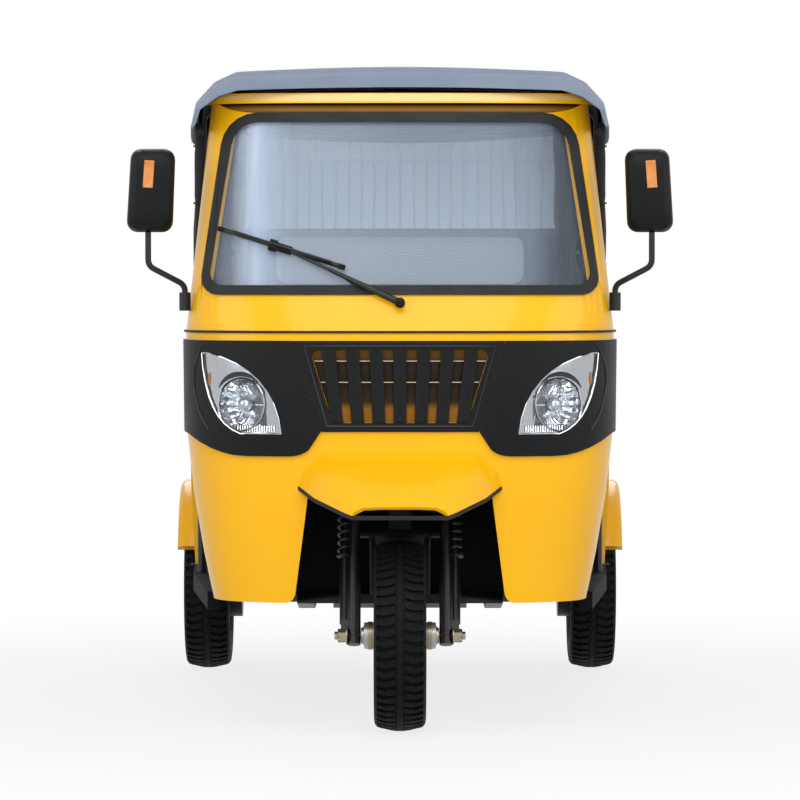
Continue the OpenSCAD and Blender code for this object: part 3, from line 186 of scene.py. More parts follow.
def softEdges(piece, width):  # rolled edges that leave the shading of the faces as it was
    smooth(piece, rolling["angle"])
    shadeAt = cornerNormals(piece.data)
    while len(piece.data.materials) < 2:
        piece.data.materials.append(None)
    for face in piece.data.polygons:
        face.material_index = 0
    modify(piece, "BEVEL", width=width, segments=rolling["segments"], limit_method="ANGLE",
           angle_limit=math.radians(rolling["angle"]), use_clamp_overlap=True, material=1)
    smooth(piece, rolling["angle"])
    mesh = piece.data
    shades = {}
    for face in mesh.polygons:
        if face.material_index == 0:
            for v in face.vertices:
                inward = mesh.vertices[v].co.lerp(face.center, rolling["inward"])
                shades.setdefault(v, []).append((face.index, shadeAt(inward)))
    chosen = []
    for face in mesh.polygons:
        for v in face.vertices:
            options = shades.get(v, [])
            own = [normal for index, normal in options if index == face.index]
            near = [normal for index, normal in options if normal.dot(face.normal) > rolling["alike"]]
            chosen.append(tuple((own or near or [Vector((0, 0, 0))])[0]))
    for face in mesh.polygons:
        face.material_index = 0
    mesh.normals_split_custom_set(chosen)


def settle(piece, material, *stands, body="body", slot=None):
    activate(piece)
    applyPlace()
    piece.data.materials.clear()
    piece.data.materials.append(material)
    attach(piece, body)
    if stands:
        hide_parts(*stands)
    return piece


def copyOf(piece, name, move):
    activate(piece)
    bpy.ops.object.duplicate()
    twin = named(name)
    twin.data.transform(move)
    if move.determinant() < 0:
        cleaned(twin)
    return twin


def settlePair(piece, material, bodies=("body", "body"), slot=None):  # a left piece and its mirror image
    label = piece.name.split(".")[0].removesuffix("Left")
    settle(copyOf(piece, label + "Right", mirrored), material, body=bodies[1], slot=slot)
    settle(piece, material, body=bodies[0], slot=slot)


def joined(name, pieces):
    activate(pieces[0])
    for piece in pieces[1:]:
        piece.select_set(True)
    bpy.ops.object.join()
    return named(name)


def repeated(piece, name, moves):  # one piece made of copies of another, which is then thrown away
    copies = [copyOf(piece, "%s%d" % (piece.name, i), move) for i, move in enumerate(moves)]
    bpy.data.objects.remove(piece)
    return joined(name, copies)


def facingWay(place, way):  # stands a piece that was spun about Z on a place, looking along a direction
    return Matrix.Translation(place) @ Vector(way).to_track_quat("Z", "Y").to_matrix().to_4x4()


def turned(degrees, axis):
    return Matrix.Rotation(math.radians(degrees), 4, axis)


def lathe(name, outline, steps=32, place=Matrix()):  # a closed outline of (radius, height) spun about Z
    deselectAll()
    bpy.ops.mesh.primitive_circle_add(vertices=len(outline), radius=0.01)
    piece = named(name)
    for vertex, (radius, height) in zip(piece.data.vertices, outline):
        vertex.co = (radius, 0, height)
    editAll()
    bpy.ops.mesh.spin(steps=steps, angle=2 * math.pi, center=(0, 0, 0), axis=(0, 0, 1))
    inMode("OBJECT")
    cleaned(piece)
    piece.data.transform(place)
    return piece


def rodOf(name, points, radius, sides=8, bend="AUTO"):  # a round bar along a path, smooth unless bend says VECTOR
    deselectAll()
    bpy.ops.curve.primitive_bezier_curve_add()
    bar = bpy.context.object
    spline = bar.data.splines[0]
    spline.bezier_points.add(len(points) - 2)
    for knot, point in zip(spline.bezier_points, points):
        knot.co = point
        knot.handle_left_type = knot.handle_right_type = bend
    bar.data.dimensions = "3D"
    bar.data.bevel_depth = radius
    bar.data.bevel_resolution = sides // 4 - 1
    bar.data.resolution_u = 6
    bar.data.use_fill_caps = True
    activate(bar)
    bpy.ops.object.convert(target="MESH")
    piece = named(name)
    cleaned(piece)
    smooth(piece, 50)
    return piece


def roundedBox(name, size, centre, edge, segments=3, place=Matrix()):
    deselectAll()
    bpy.ops.mesh.primitive_cube_add(size=1, location=centre)
    piece = named(name)
    piece.scale = size
    applyPlace()
    modify(piece, "BEVEL", width=edge, segments=segments, limit_method="NONE")
    smooth(piece, 40)
    piece.data.transform(place)
    return piece


def laidOut(name, columns, rows, place, thickness):  # a plate of faces laid out by a rule, given a thickness
    deselectAll()
    bpy.ops.mesh.primitive_grid_add(x_subdivisions=columns, y_subdivisions=rows, size=1)
    piece = named(name)
    moveVerts(piece, lambda co: place(co.x + 0.5, co.y + 0.5))
    cleaned(piece)
    if thickness:
        modify(piece, "SOLIDIFY", thickness=thickness, offset=0)
    smooth(piece, 40)
    return piece


def areaOf(piece):
    return sum(face.area for face in piece.data.polygons)


def clothOf(name, columns, rows, place, thickness):  # a laid out cloth, and its area before it gets a thickness
    piece = laidOut(name, columns, rows, place, 0)
    area = areaOf(piece)
    modify(piece, "SOLIDIFY", thickness=thickness, offset=0)
    smooth(piece, 60)
    return piece, area


def onSide(side, rule):  # a rule for the left, followed there or on the right
    def place(u, v):
        spot = rule(u, v)
        return Vector((side * spot.x, spot.y, spot.z))
    return place


def roundLoop(low, high, corner):  # the points of a rectangle with round corners, as (across, up)
    ends = (low, high)
    points = []
    for i, k, start in ((1, 1, 0), (0, 1, 90), (0, 0, 180), (1, 0, 270)):
        for turn in (math.radians(start + 22.5 * step) for step in range(5)):
            points.append((ends[i][0] + corner * (1 - 2 * i + math.cos(turn)),
                           ends[k][1] + corner * (1 - 2 * k + math.sin(turn))))
    return points


def linear(code):  # sRGB hex to linear
    parts = [int(code[i:i + 2], 16) / 255 for i in (1, 3, 5)]
    return (*[c / 12.92 if c <= 0.04045 else ((c + 0.055) / 1.055) ** 2.4 for c in parts], 1)


def addNode(tree, kind, inputs=(), **settings):
    node = tree.nodes.new(kind)
    for key, value in settings.items():
        setattr(node, key, value)
    for key, value in dict(inputs).items():
        if isinstance(value, bpy.types.NodeSocket):
            tree.links.new(value, node.inputs[key])
        else:
            node.inputs[key].default_value = value
    return node


def startMaterial(name, **constants):  # keyword names stand for socket names, with _ for a space
    material = bpy.data.materials.new(name)
    material.use_nodes = True
    tree = material.node_tree
    shader = tree.nodes["Principled BSDF"]
    for key, value in constants.items():
        shader.inputs[key.replace("_", " ")].default_value = value
    place = addNode(tree, "ShaderNodeTexCoord").outputs["Object"]
    return material, tree, shader, place


def perMm(size):  # how many repeats a metre holds of a pattern that is this many mm wide
    return 1000 / size


def banded(material, socket, axis, low, high, stops):  # a socket follows stops along an axis of the piece
    tree = material.node_tree
    parts = addNode(tree, "ShaderNodeSeparateXYZ", {"Vector": tree.nodes["Texture Coordinate"].outputs["Object"]})
    along = addNode(tree, "ShaderNodeMapRange", {"Value": parts.outputs[axis], "From Min": low, "From Max": high})
    ramp = addNode(tree, "ShaderNodeValToRGB", {"Fac": along.outputs["Result"]})
    for position, shade in stops[1:-1]:
        ramp.color_ramp.elements.new(position)
    for stop, (position, shade) in zip(ramp.color_ramp.elements, stops):
        stop.position = position
        stop.color = linear(shade) if isinstance(shade, str) else (shade, shade, shade, 1)
    tree.links.new(ramp.outputs["Color"], tree.nodes["Principled BSDF"].inputs[socket])


# a finish has two close shades in patches, or bands along an axis, a roughness range and a fine bump;
# the patches and the grain of the bump are sizes in mm
def finishOf(slot, name, shades, patch, roughness, grain, bump, depth, **constants):
    material, tree, shader, place = startMaterial(name, **constants)
    patches = addNode(tree, "ShaderNodeTexNoise", {"Vector": place, "Scale": perMm(patch), "Detail": 4})
    if len(shades) == 2:
        low, high = [linear(code) for code in shades]
        shade = addNode(tree, "ShaderNodeMix", {0: patches.outputs["Fac"], 6: low, 7: high}, data_type="RGBA")
        tree.links.new(shade.outputs[2], shader.inputs["Base Color"])
    else:
        banded(material, "Base Color", *shades)
    gloss = addNode(tree, "ShaderNodeMapRange", {"Value": patches.outputs["Fac"], "From Min": 0.3, "From Max": 0.7,
                                                 "To Min": roughness[0], "To Max": roughness[1]})
    tree.links.new(gloss.outputs["Result"], shader.inputs["Roughness"])
    fine = addNode(tree, "ShaderNodeTexNoise", {"Vector": place, "Scale": perMm(grain), "Detail": 3})
    relief = addNode(tree, "ShaderNodeBump", {"Height": fine.outputs["Fac"], "Strength": bump, "Distance": depth})
    tree.links.new(relief.outputs["Normal"], shader.inputs["Normal"])
    return material


# stove enamel on pressed steel: deep warm yellow under a clear gloss, with a faint orange peel
paint = finishOf("yellow_paint", "yellowEnamel", ("#DEA202", "#E6AC04"), 420, (0.34, 0.42), 7, 0.05, 0.0006,
                 Coat_Weight=0.30, Coat_Roughness=0.11, Specular_IOR_Level=0.18)
# injection moulded ABS, grained: charcoal with a soft broad sheen; the grain is drawn at 4 mm so that it shows
blackPlastic = finishOf("black_plastic", "grainedAbs", ("#0B0C0D", "#111214"), 160, (0.44, 0.56), 4, 0.10, 0.0006,
                        Specular_IOR_Level=0.16)
# extruded EPDM seal: dull black
rubber = finishOf("rubber", "epdmRubber", ("#121314", "#1A1B1C"), 60, (0.55, 0.7), 3, 0.1, 0.0005,
                  Specular_IOR_Level=0.3)
# vulcanised tyre rubber: grey black, dusty in patches
tyreRubber = finishOf("tyre", "tyreRubber", ("#08090A", "#101111"), 45, (0.62, 0.8), 3, 0.2, 0.0006,
                      Specular_IOR_Level=0.12)
# powder coated steel: black with a fine even peel
blackSteel = finishOf("black_steel", "powderCoatedSteel", ("#0B0C0D", "#121314"), 90, (0.36, 0.48), 3, 0.08, 0.0005,
                      Specular_IOR_Level=0.4)
# steel under a sprayed bitumen coat: black, rough and dull
undersealed = finishOf("black_steel", "undersealedSteel", ("#08090A", "#101113"), 60, (0.75, 0.9), 5, 0.3, 0.001,
                       Specular_IOR_Level=0.12)
# oil dark spring steel: a tight dark shine on the wire
springSteel = finishOf("spring_steel", "paintedSpringSteel", ("#1C1E20", "#2B2D30"), 30, (0.26, 0.36), 2, 0.05,
                       0.0004, Specular_IOR_Level=0.55)
# aluminium lacquer on pressed wheels: pale grey with a soft metal sheen
wheelSilver = finishOf("wheel_silver", "wheelLacquer", ("#A9ACAE", "#BABDBE"), 60, (0.34, 0.44), 3, 0.06, 0.0004,
                       Metallic=0.85)
# the same lacquer on the rear wheels, with bare dark iron on the brake drums inboard of them
drumBands = ("X", -0.62, 0.62, [(0.0, "#B0B3B5"), (0.070, "#B0B3B5"), (0.074, "#17181A"), (0.926, "#17181A"),
                                (0.930, "#B0B3B5"), (1.0, "#B0B3B5")])
drumIron = finishOf("wheel_silver", "lacquerAndDrumIron", drumBands, 60, (0.38, 0.50), 3, 0.08, 0.0004, Metallic=0.7)
# zinc plated axle and nuts, yellowed by the passivation
zincPlate = finishOf("wheel_silver", "yellowZinc", ("#968D79", "#AEA48D"), 12, (0.30, 0.42), 2, 0.05, 0.0003,
                     Metallic=0.9)
# sand cast aluminium: dull grey skin
castMetal = finishOf("cast_metal", "castAluminium", ("#84878A", "#96999B"), 40, (0.5, 0.65), 3, 0.3, 0.001,
                     Metallic=0.7)
# bright chrome plate: sharp reflections, faintly grey
chrome = finishOf("chrome", "chromePlate", ("#B2B4B8", "#C0C2C5"), 50, (0.06, 0.12), 20, 0.02, 0.0004, Metallic=1.0)
# silvered mirror glass: a clear cool reflection
mirrorGlass = finishOf("mirror", "silveredGlass", ("#CBD2D6", "#D6DCE0"), 200, (0.02, 0.04), 60, 0.01, 0.0004,
                       Metallic=1.0)
# coated cotton canvas: blue grey, matt, with a coarse plain weave; the black one hangs at the sides and the rear
canvas = finishOf("canvas", "coatedCanvas", ("#656E7E", "#7C8698"), 130, (0.72, 0.86), 4, 0.25, 0.0012,
                  Sheen_Weight=0.25, Sheen_Roughness=0.5, Specular_IOR_Level=0.25)
darkCanvas = finishOf("canvas", "blackCanvas", ("#131517", "#1E2124"), 130, (0.72, 0.86), 4, 0.25, 0.0012,
                      Sheen_Weight=0.2, Sheen_Roughness=0.5, Specular_IOR_Level=0.25)
# light polyester curtain cloth: pale blue, soft and without shine
curtainCloth = finishOf("curtain", "curtainPolyester", ("#D2E5FA", "#E0EFFF"), 90, (0.8, 0.92), 3, 0.12, 0.0006,
                        Sheen_Weight=0.2, Specular_IOR_Level=0.2)
# expanded vinyl: black leather grain with a low sheen
seatVinyl = finishOf("seat_vinyl", "expandedVinyl", ("#1F2023", "#2A2B2F"), 70, (0.42, 0.55), 5, 0.35, 0.001,
                     Specular_IOR_Level=0.4)
# laminated glass: clear with a faint blue haze of painted reflection, denser in an upright streak of painted sky
# reflection towards its left edge
glass = finishOf("glass", "laminatedGlass", ("#B2C4DC", "#C8D8EC"), 240, (0.02, 0.05), 80, 0.0, 0.0002,
                 IOR=1.45, Coat_Weight=0.3)
banded(glass, "Alpha", "X", -0.56, 0.56, [(0.0, 0.06), (0.11, 0.12), (0.145, 0.32), (0.168, 0.50), (0.195, 0.36),
                                          (0.25, 0.20), (0.5, 0.15), (0.80, 0.14), (0.87, 0.05), (1.0, 0.04)])
# moulded clear polycarbonate: water clear
clearLens = finishOf("lens", "clearPolycarbonate", ("#F0F4F6", "#F6F9FA"), 90, (0.01, 0.03), 40, 0.0, 0.0002,
                     Transmission_Weight=1.0, IOR=1.5)
# moulded acrylic lenses: deep amber and red that let some light through
amberLens = finishOf("amber_lens", "amberAcrylic", ("#D07A08", "#E08C14"), 14, (0.10, 0.2), 3, 0.2, 0.0006,
                     Transmission_Weight=0.35, IOR=1.49)
redLens = finishOf("red_lens", "redAcrylic", ("#B01210", "#C41A16"), 14, (0.10, 0.2), 3, 0.2, 0.0006,
                   Transmission_Weight=0.35, IOR=1.49)
# soft clear vinyl sheet of the rear window: hazy blue grey with slow waves
clearVinyl = finishOf("clear_vinyl", "clearVinyl", ("#7E90A2", "#92A4B5"), 120, (0.08, 0.2), 40, 0.15, 0.002,
                      Alpha=0.72, IOR=1.4)
# painted shade on the enamel plate deep behind the grille: dark in the middle, with painted light on it at the top
# and the bottom
grilleShadeBands = ("Z", 0.794, 0.980, [(0.0, "#80540E"), (0.18, "#855810"), (0.28, "#2A1B08"), (0.55, "#120D05"),
                                  (0.82, "#1A1208"), (0.90, "#4A320C"), (1.0, "#6A4810")])
grilleShadePaint = finishOf("yellow_paint", "paintedGrilleShade", grilleShadeBands, 46, (0.4, 0.6), 6, 0.1, 0.0006,
                      Specular_IOR_Level=0.2)
# painted shade in the recess under the header: black under the edge, with a dark gold band of lighter painted shade
# below it
headerShadeBands = ("Z", 1.590, 1.616, [(0.0, "#120D05"), (0.3, "#7A5410"), (0.6, "#5A3E0C"), (0.85, "#0C0803"),
                                   (1.0, "#050402")])
headerShadePaint = finishOf("yellow_paint", "paintedHeaderShade", headerShadeBands, 46, (0.4, 0.6), 6, 0.1, 0.0006,
                       Specular_IOR_Level=0.2)
# pale enamel: a painted highlight on the rolled edge of the header, and the pale marks of the gauge dial
paleMarksAndHighlight = finishOf("yellow_paint", "paleEnamelPaintedHighlight", ("#CFA65C", "#DDB970"), 90, (0.3, 0.4), 6, 0.04, 0.0004,
                    Coat_Weight=0.4)
print("materials made:", len(bpy.data.materials))

# camera at the photograph's place: far ahead, at chest height, tilted slightly down
view = {"ahead": 13.04, "height": 1.158, "tilt": 1.469, "lens": 210.6, "sensor": 36, "far": 200}
bpy.ops.object.camera_add(location=(0, -view["ahead"], view["height"]),
                          rotation=(math.radians(90 - view["tilt"]), 0, 0))
camera = named("viewer")
camera.data.lens = view["lens"]
camera.data.sensor_width = view["sensor"]
camera.data.clip_end = view["far"]
bpy.context.scene.camera = camera
bpy.context.scene.view_settings.view_transform = "Standard"

studio = {"ambient": 0.40, "floor": 80, "floorShade": "#C4C5C6", "near": 1.2, "far": 3.6, "nearGlow": 0.80,
          "lamps": [  # place, aim, size, watts, and whether it leaves a highlight
              ((0, -6.0, 6.5), (0, -0.6, 0.9), 6.0, 330, True),
              ((-6.0, -3.5, 3.4), (0, -0.4, 0.9), 4.0, 120, True),
              ((6.0, -3.5, 3.4), (0, -0.4, 0.9), 4.0, 120, True),
              ((0, -11.0, 2.4), (0, 0.5, 1.3), 3.0, 470, False),
              ((0, 6.0, 5.0), (0, 0.6, 1.0), 5.0, 230, True)]}
for stand, aim, size, watts, highlight in studio["lamps"]:
    bpy.ops.object.light_add(type="AREA", location=stand)
    light = bpy.context.object
    light.data.energy = watts
    light.data.size = size
    light.visible_glossy = highlight
    light.rotation_euler = (Vector(aim) - Vector(stand)).to_track_quat("-Z", "Y").to_euler()


def seenRays(tree):  # 1 for what the camera sees directly, through glass or in a reflection
    ray = addNode(tree, "ShaderNodeLightPath").outputs
    seen = ray["Is Camera Ray"]
    for kind in ("Is Transmission Ray", "Is Glossy Ray"):
        seen = addNode(tree, "ShaderNodeMath", {0: seen, 1: ray[kind]}, operation="ADD", use_clamp=True).outputs[0]
    return seen


world = bpy.data.worlds.new("paleStudio")
bpy.context.scene.world = world
world.use_nodes = True
sky = world.node_tree
backdrop = sky.nodes["Background"]
level = addNode(sky, "ShaderNodeMapRange", {"Value": seenRays(sky), "To Min": studio["ambient"], "To Max": 1.0})
sky.links.new(level.outputs["Result"], backdrop.inputs["Strength"])
backdrop.inputs["Color"].default_value = (1, 1, 1, 1)
bpy.ops.mesh.primitive_grid_add(x_subdivisions=4, y_subdivisions=4, size=studio["floor"])
floor = named("studioFloor")
floorPaint, tree, shader, place = startMaterial("paleFloor", Roughness=0.9, Specular_IOR_Level=0.1)
shader.inputs["Base Color"].default_value = linear(studio["floorShade"])
glow = addNode(tree, "ShaderNodeEmission", {"Color": (1, 1, 1, 1), "Strength": 1.0})
away = addNode(tree, "ShaderNodeVectorMath", {0: place}, operation="LENGTH")
fade = addNode(tree, "ShaderNodeMapRange", {"Value": away.outputs["Value"], "From Min": studio["near"],
                                            "From Max": studio["far"], "To Min": studio["nearGlow"], "To Max": 1.0},
               interpolation_type="SMOOTHSTEP")
lit = addNode(tree, "ShaderNodeMath", {0: seenRays(tree), 1: fade.outputs["Result"]}, operation="MULTIPLY")
blend = addNode(tree, "ShaderNodeMixShader", {0: lit.outputs[0], 1: shader.outputs[0], 2: glow.outputs[0]})
tree.links.new(blend.outputs[0], tree.nodes["Material Output"].inputs["Surface"])
floor.data.materials.append(floorPaint)
print("camera, lamps and floor set")

# rigid panels: merged copies of the solids with rolled edges
panels = {  # body: solid, piece, material and edge radius of each panel on it
    "body": [
        ("front_cowl", "frontCowl", paint, 0.004), ("lamp_panels", "lampPanels", blackPlastic, 0.003),
        ("grille", "grillePanel", blackPlastic, 0.003), ("body_piping", "beltPiping", rubber, 0.002),
        ("mudguard", "mudguardSnout", paint, 0.004), ("screen_frame", "screenFrame", paint, 0.004),
        ("windscreen_seal", "screenSeal", rubber, 0.004), ("windscreen", "screenGlass", glass, 0.0008),
        ("wiper", "wiperArm", blackSteel, 0.001), ("headlamp_bowls", "lampBowls", chrome, 0.001),
        ("headlamp_lenses", "lampLenses", clearLens, 0.001), ("tail_lamps", "tailLamps", redLens, 0.003),
        ("mirror_arms", "mirrorArms", blackSteel, 0.001), ("mirror_heads", "mirrorHeads", blackPlastic, 0.005),
        ("mirror_glasses", "mirrorGlasses", mirrorGlass, 0.0006), ("mirror_lamps", "mirrorLamps", amberLens, 0.001),
        ("dashboard", "dashboardShell", blackPlastic, 0.005), ("seat_bases", "seatBases", blackSteel, 0.004),
        ("rear_tub", "rearTub", paint, 0.005), ("rear_fenders", "rearFenders", paint, 0.004),
        ("rear_bumper", "rearBumper", blackSteel, 0.003), ("floor_pan", "floorPan", undersealed, 0.004),
        ("wheel_house", "wheelHouse", undersealed, 0.004), ("chassis", "chassisFrame", blackSteel, 0.003),
        ("hood_frame", "hoodFrame", blackSteel, 0.0), ("rear_window", "rearWindow", clearVinyl, 0.0),
        ("rear_suspension", "rearSuspension", blackSteel, 0.002)],
    "lid": [("engine_lid", "engineLid", paint, 0.004)],
    "steering": [("fork", "steeringFork", blackSteel, 0.002), ("wheel_guard", "wheelGuard", blackPlastic, 0.001),
                 ("handlebar", "steeringBar", blackSteel, 0.001)],
    "front_wheel": [("front_rim", "frontRim", wheelSilver, 0.002)],
    "rear_wheel_left": [("rear_rim_left", "rearRimLeft", drumIron, 0.002)],
    "rear_wheel_right": [("rear_rim_right", "rearRimRight", drumIron, 0.002)]}
dressed = {}
for body, pieces in panels.items():
    for node, name, material, edge in pieces:
        piece = takeNode(node, name)
        if edge:
            softEdges(piece, edge)
        else:
            smooth(piece)
        dressed[node] = settle(piece, material, node, body=body)
for node, material in (("tow_eye", blackSteel), ("engine", castMetal)):
    nodes[node].data.materials.clear()
    nodes[node].data.materials.append(material)
print("panels dressed:", len(dressed))

# tyres: spun section with side slots cut into the tread, broad at the shoulder, and two zigzag grooves
tyre = {"pitches": 56, "steps": 6, "depth": 0.0075, "slotFrom": 0.0125, "slotTo": 0.0560, "broad": 0.0340,
        "broadSteps": 3, "narrowSteps": 2, "treadFrom": 0.232, "slant": 0.45, "sweep": 0.75,
        "groove": (0.0085, 0.0115), "grooveDepth": 0.005, "grooveAt": 0.010, "grooveReach": 0.006,
        "grooveFrom": 0.23, "zigzag": 0.00252,
        "half": [(0.0447, 0.1303), (0.0447, 0.1443), (0.0490, 0.1463), (0.0535, 0.1530), (0.0605, 0.1610),
                 (0.0655, 0.1740), (0.0670, 0.1930), (0.0668, 0.2130), (0.0650, 0.2255), (0.0590, 0.2335),
                 (0.0505, 0.2368), (0.0442, 0.2378), (0.0345, 0.2402), (0.0243, 0.2426), (0.0130, 0.2444),
                 (0.0114, 0.2445), (0.0086, 0.2446), (0.0040, 0.2447)]}
wheels = [("front_tyre", "frontTyre", "front_wheel", (0, -1.04, 0.245)),
          ("rear_tyre_left", "rearTyreLeft", "rear_wheel_left", (0.57, 0.94, 0.245)),
          ("rear_tyre_right", "rearTyreRight", "rear_wheel_right", (-0.57, 0.94, 0.245))]
section = [(r, x) for x, r in tyre["half"]] + [(r, -x) for x, r in reversed(tyre["half"])]
tread = lathe("frontTyre", section, tyre["pitches"] * tyre["steps"])
stepAngle = 2 * math.pi / (tyre["pitches"] * tyre["steps"])
pitchAngle = stepAngle * tyre["steps"]


def turnOf(place):
    return math.atan2(place.y, place.x) % (2 * math.pi)


def onTread(face):
    return math.hypot(face.center.x, face.center.y) > tyre["treadFrom"]


def inSlot(face):
    out = abs(face.center.z)
    steps = tyre["broadSteps"] if out > tyre["broad"] else tyre["narrowSteps"]
    step = int(turnOf(face.center) / stepAngle) % tyre["steps"]
    return onTread(face) and tyre["slotFrom"] < out < tyre["slotTo"] and step < steps


def inGroove(face):
    return onTread(face) and tyre["groove"][0] < abs(face.center.z) < tyre["groove"][1]


for test, depth in ((inSlot, tyre["depth"]), (inGroove, tyre["grooveDepth"])):
    selectWhere(tread, "FACE", test)
    bpy.ops.mesh.extrude_region_move()
    inMode("OBJECT")
    for vertex in tread.data.vertices:
        if vertex.select:
            radius = math.hypot(vertex.co.x, vertex.co.y)
            vertex.co.xy = vertex.co.xy * ((radius - depth) / radius)


def slanted(co):  # turns the slots into curved blades, half a pitch apart on the two sides, and bends the grooves
    side = share((co.z + tyre["slotFrom"]) / (2 * tyre["slotFrom"]))
    slope = math.sin(min(1, abs(co.z) / tyre["slotTo"]) * math.pi * tyre["sweep"]) * tyre["slant"]
    wave = abs((turnOf(co) / pitchAngle) % 1 * 2 - 1) * 2 - 1
    near = max(0, 1 - abs(abs(co.z) - tyre["grooveAt"]) / tyre["grooveReach"])
    bend = near if math.hypot(co.x, co.y) > tyre["grooveFrom"] else 0
    moved = Vector((co.x, co.y, co.z + math.copysign(tyre["zigzag"], co.z) * wave * bend))
    return Matrix.Rotation(pitchAngle * (0.5 * side + slope), 3, "Z") @ moved


moveVerts(tread, slanted)
smooth(tread, 32)
tread.data.transform(turned(90, "Y"))
tyres = [tread] + [copyOf(tread, wheel[1], Matrix()) for wheel in wheels[1:]]
for piece, (node, _, body, centre) in zip(tyres, wheels):
    piece.location = centre
    settle(piece, tyreRubber, node, body=body)
print("tyres cut")

# front springs: wound wire on a damper, between two plates
steer = Matrix.Translation((0, -1.0, 0.245)) @ turned(-18, "X")
spring = {"x": 0.142, "y": 0.008, "foot": 0.0279, "damperTop": 0.212, "top": 0.3867, "radius": 0.022, "wire": 0.0042,
          "turns": 8, "damper": 0.014, "rod": 0.008, "plate": 0.023, "plateDeep": 0.005}
foot, mid, top, wire = [spring[key] for key in ("foot", "damperTop", "top", "wire")]
tube, rod, plate = [spring[key] for key in ("damper", "rod", "plate")]
deselectAll()
bpy.ops.mesh.primitive_circle_add(vertices=8, radius=wire, location=(spring["radius"] - wire, 0, mid + wire),
                                  rotation=(math.radians(90), 0, 0))
coil = named("springWire")
applyPlace()
modify(coil, "SCREW", angle=2 * math.pi, screw_offset=(top - mid - 2 * wire) / spring["turns"],
       iterations=spring["turns"], steps=20, render_steps=20, use_merge_vertices=True)
editAll()
bpy.ops.mesh.fill_holes(sides=0)
inMode("OBJECT")
cleaned(coil)
smooth(coil, 60)
damper = lathe("damperTube", [(0, foot), (tube - 0.002, foot), (tube, foot + 0.002), (tube, mid - 0.008),
                              (plate - 0.003, mid - 0.005), (plate, mid - 0.003), (plate, mid), (tube, mid + 0.001),
                              (tube - 0.002, mid + 0.02), (rod, mid + 0.022), (rod, top), (plate, top),
                              (plate, top + spring["plateDeep"]), (0, top + spring["plateDeep"])], 28)
smooth(damper, 40)
for side, label in ((1, "Left"), (-1, "Right")):
    move = steer @ Matrix.Translation((side * spring["x"], spring["y"], 0))
    settle(copyOf(coil, "frontSpring" + label, move), springSteel, "fork_springs", body="steering")
    settle(copyOf(damper, "frontDamper" + label, move), blackSteel, "fork_springs", body="steering",
           slot="spring_steel")
for piece in (coil, damper):
    bpy.data.objects.remove(piece)
print("front springs wound")

# shape of the front body as the solids have it: shares up the cowl, of the half width, of the reach and of the back
bodyShape = {"axle": -1.04, "low": 0.330, "belt": 1.022, "header": 1.642, "half": 0.561, "reach": 0.088,
             "back": 0.330, "pillarBack": 0.300, "rake": 18.5, "lean": 6.4,
             "rows": [(0.00, 0.868, 0.45, 0.76), (0.18, 0.915, 0.62, 0.80), (0.40, 0.962, 0.82, 0.88),
                      (0.63, 0.994, 1.00, 0.95), (0.96, 1.000, 0.82, 1.00), (1.00, 1.000, 0.76, 1.00)]}
pillarRise = bodyShape["header"] - bodyShape["belt"]
frontRows = [(mix(bodyShape["low"], bodyShape["belt"], up), half * bodyShape["half"],
              -reach * bodyShape["reach"], back * bodyShape["back"]) for up, half, reach, back in bodyShape["rows"]]
leanIn, rakeBack = [pillarRise * math.tan(math.radians(bodyShape[key])) for key in ("lean", "rake")]
frontRows.append((bodyShape["header"], bodyShape["half"] - leanIn, frontRows[-1][2] + rakeBack,
                  bodyShape["pillarBack"]))


def onFront(x, z, out=0.0):  # the point of the front body at a place across and a height, lifted off it by out
    k = max([i for i in range(len(frontRows) - 1) if frontRows[i][0] <= z] or [0])
    below, above = frontRows[k], frontRows[k + 1]
    t = (z - below[0]) / (above[0] - below[0])
    half, nose, back = [mix(below[i], above[i], t) for i in (1, 2, 3)]
    bulge = (1 - min(abs(x) / (half + out), 1) ** 3) ** (1 / 3)
    return Vector((x, bodyShape["axle"] + back - (back - nose + out) * bulge, z))


# roof: one sheet of canvas stretched over the bows, with pressed seams along it and a bound edge
roof = {"edge": 1.556, "top": 1.726, "front": 0.546, "hoop": 0.606, "length": 2.240, "sag": 0.006, "flatHalf": 0.56,
        "pucker": 0.004, "puckerAt": 0.045, "puckerFade": 25, "cloth": 0.005,
        "hem": 0.0032, "hemIn": (0.988, 0.996, 0.003), "bows": [0.051, 0.064, 0.250, 0.474, 0.720, 0.915, 1.0],
        "stations": [(0.049, -0.12, 0.60), (0.051, -0.10, 0.80), (0.064, -0.06, 0.92), (0.250, 0.25, 0.97),
                     (0.470, 0.62, 1.00), (0.640, 0.86, 0.99), (0.720, 0.98, 0.98), (0.915, 0.96, 0.90),
                     (0.985, 0.80, 0.76), (1.000, 0.72, 0.46), (1.001, 0.70, 0.00)],
        "across": [(0, 0), (0.40, 0.03), (0.78, 0.09), (0.885, 0.26), (0.975, 0.60), (1, 1)],
        "creases": [("along", 2, 0.95), ("along", 3, 0.85), ("along", 4, 0.8),
                    ("across", 1, 0.4), ("across", 2, 0.7), ("across", 9, 0.6)]}
section = [(-x, drop) for x, drop in reversed(roof["across"][1:])] + roof["across"]
columns, rows = len(section) - 1, len(roof["stations"]) - 1


def roofPoint(station, spot):
    half = mix(roof["front"], roof["hoop"], station[1])
    return Vector((spot[0] * half, bodyShape["axle"] + station[0] * roof["length"],
                   roof["edge"] + station[2] * (roof["top"] - roof["edge"]) * (1 - spot[1])))


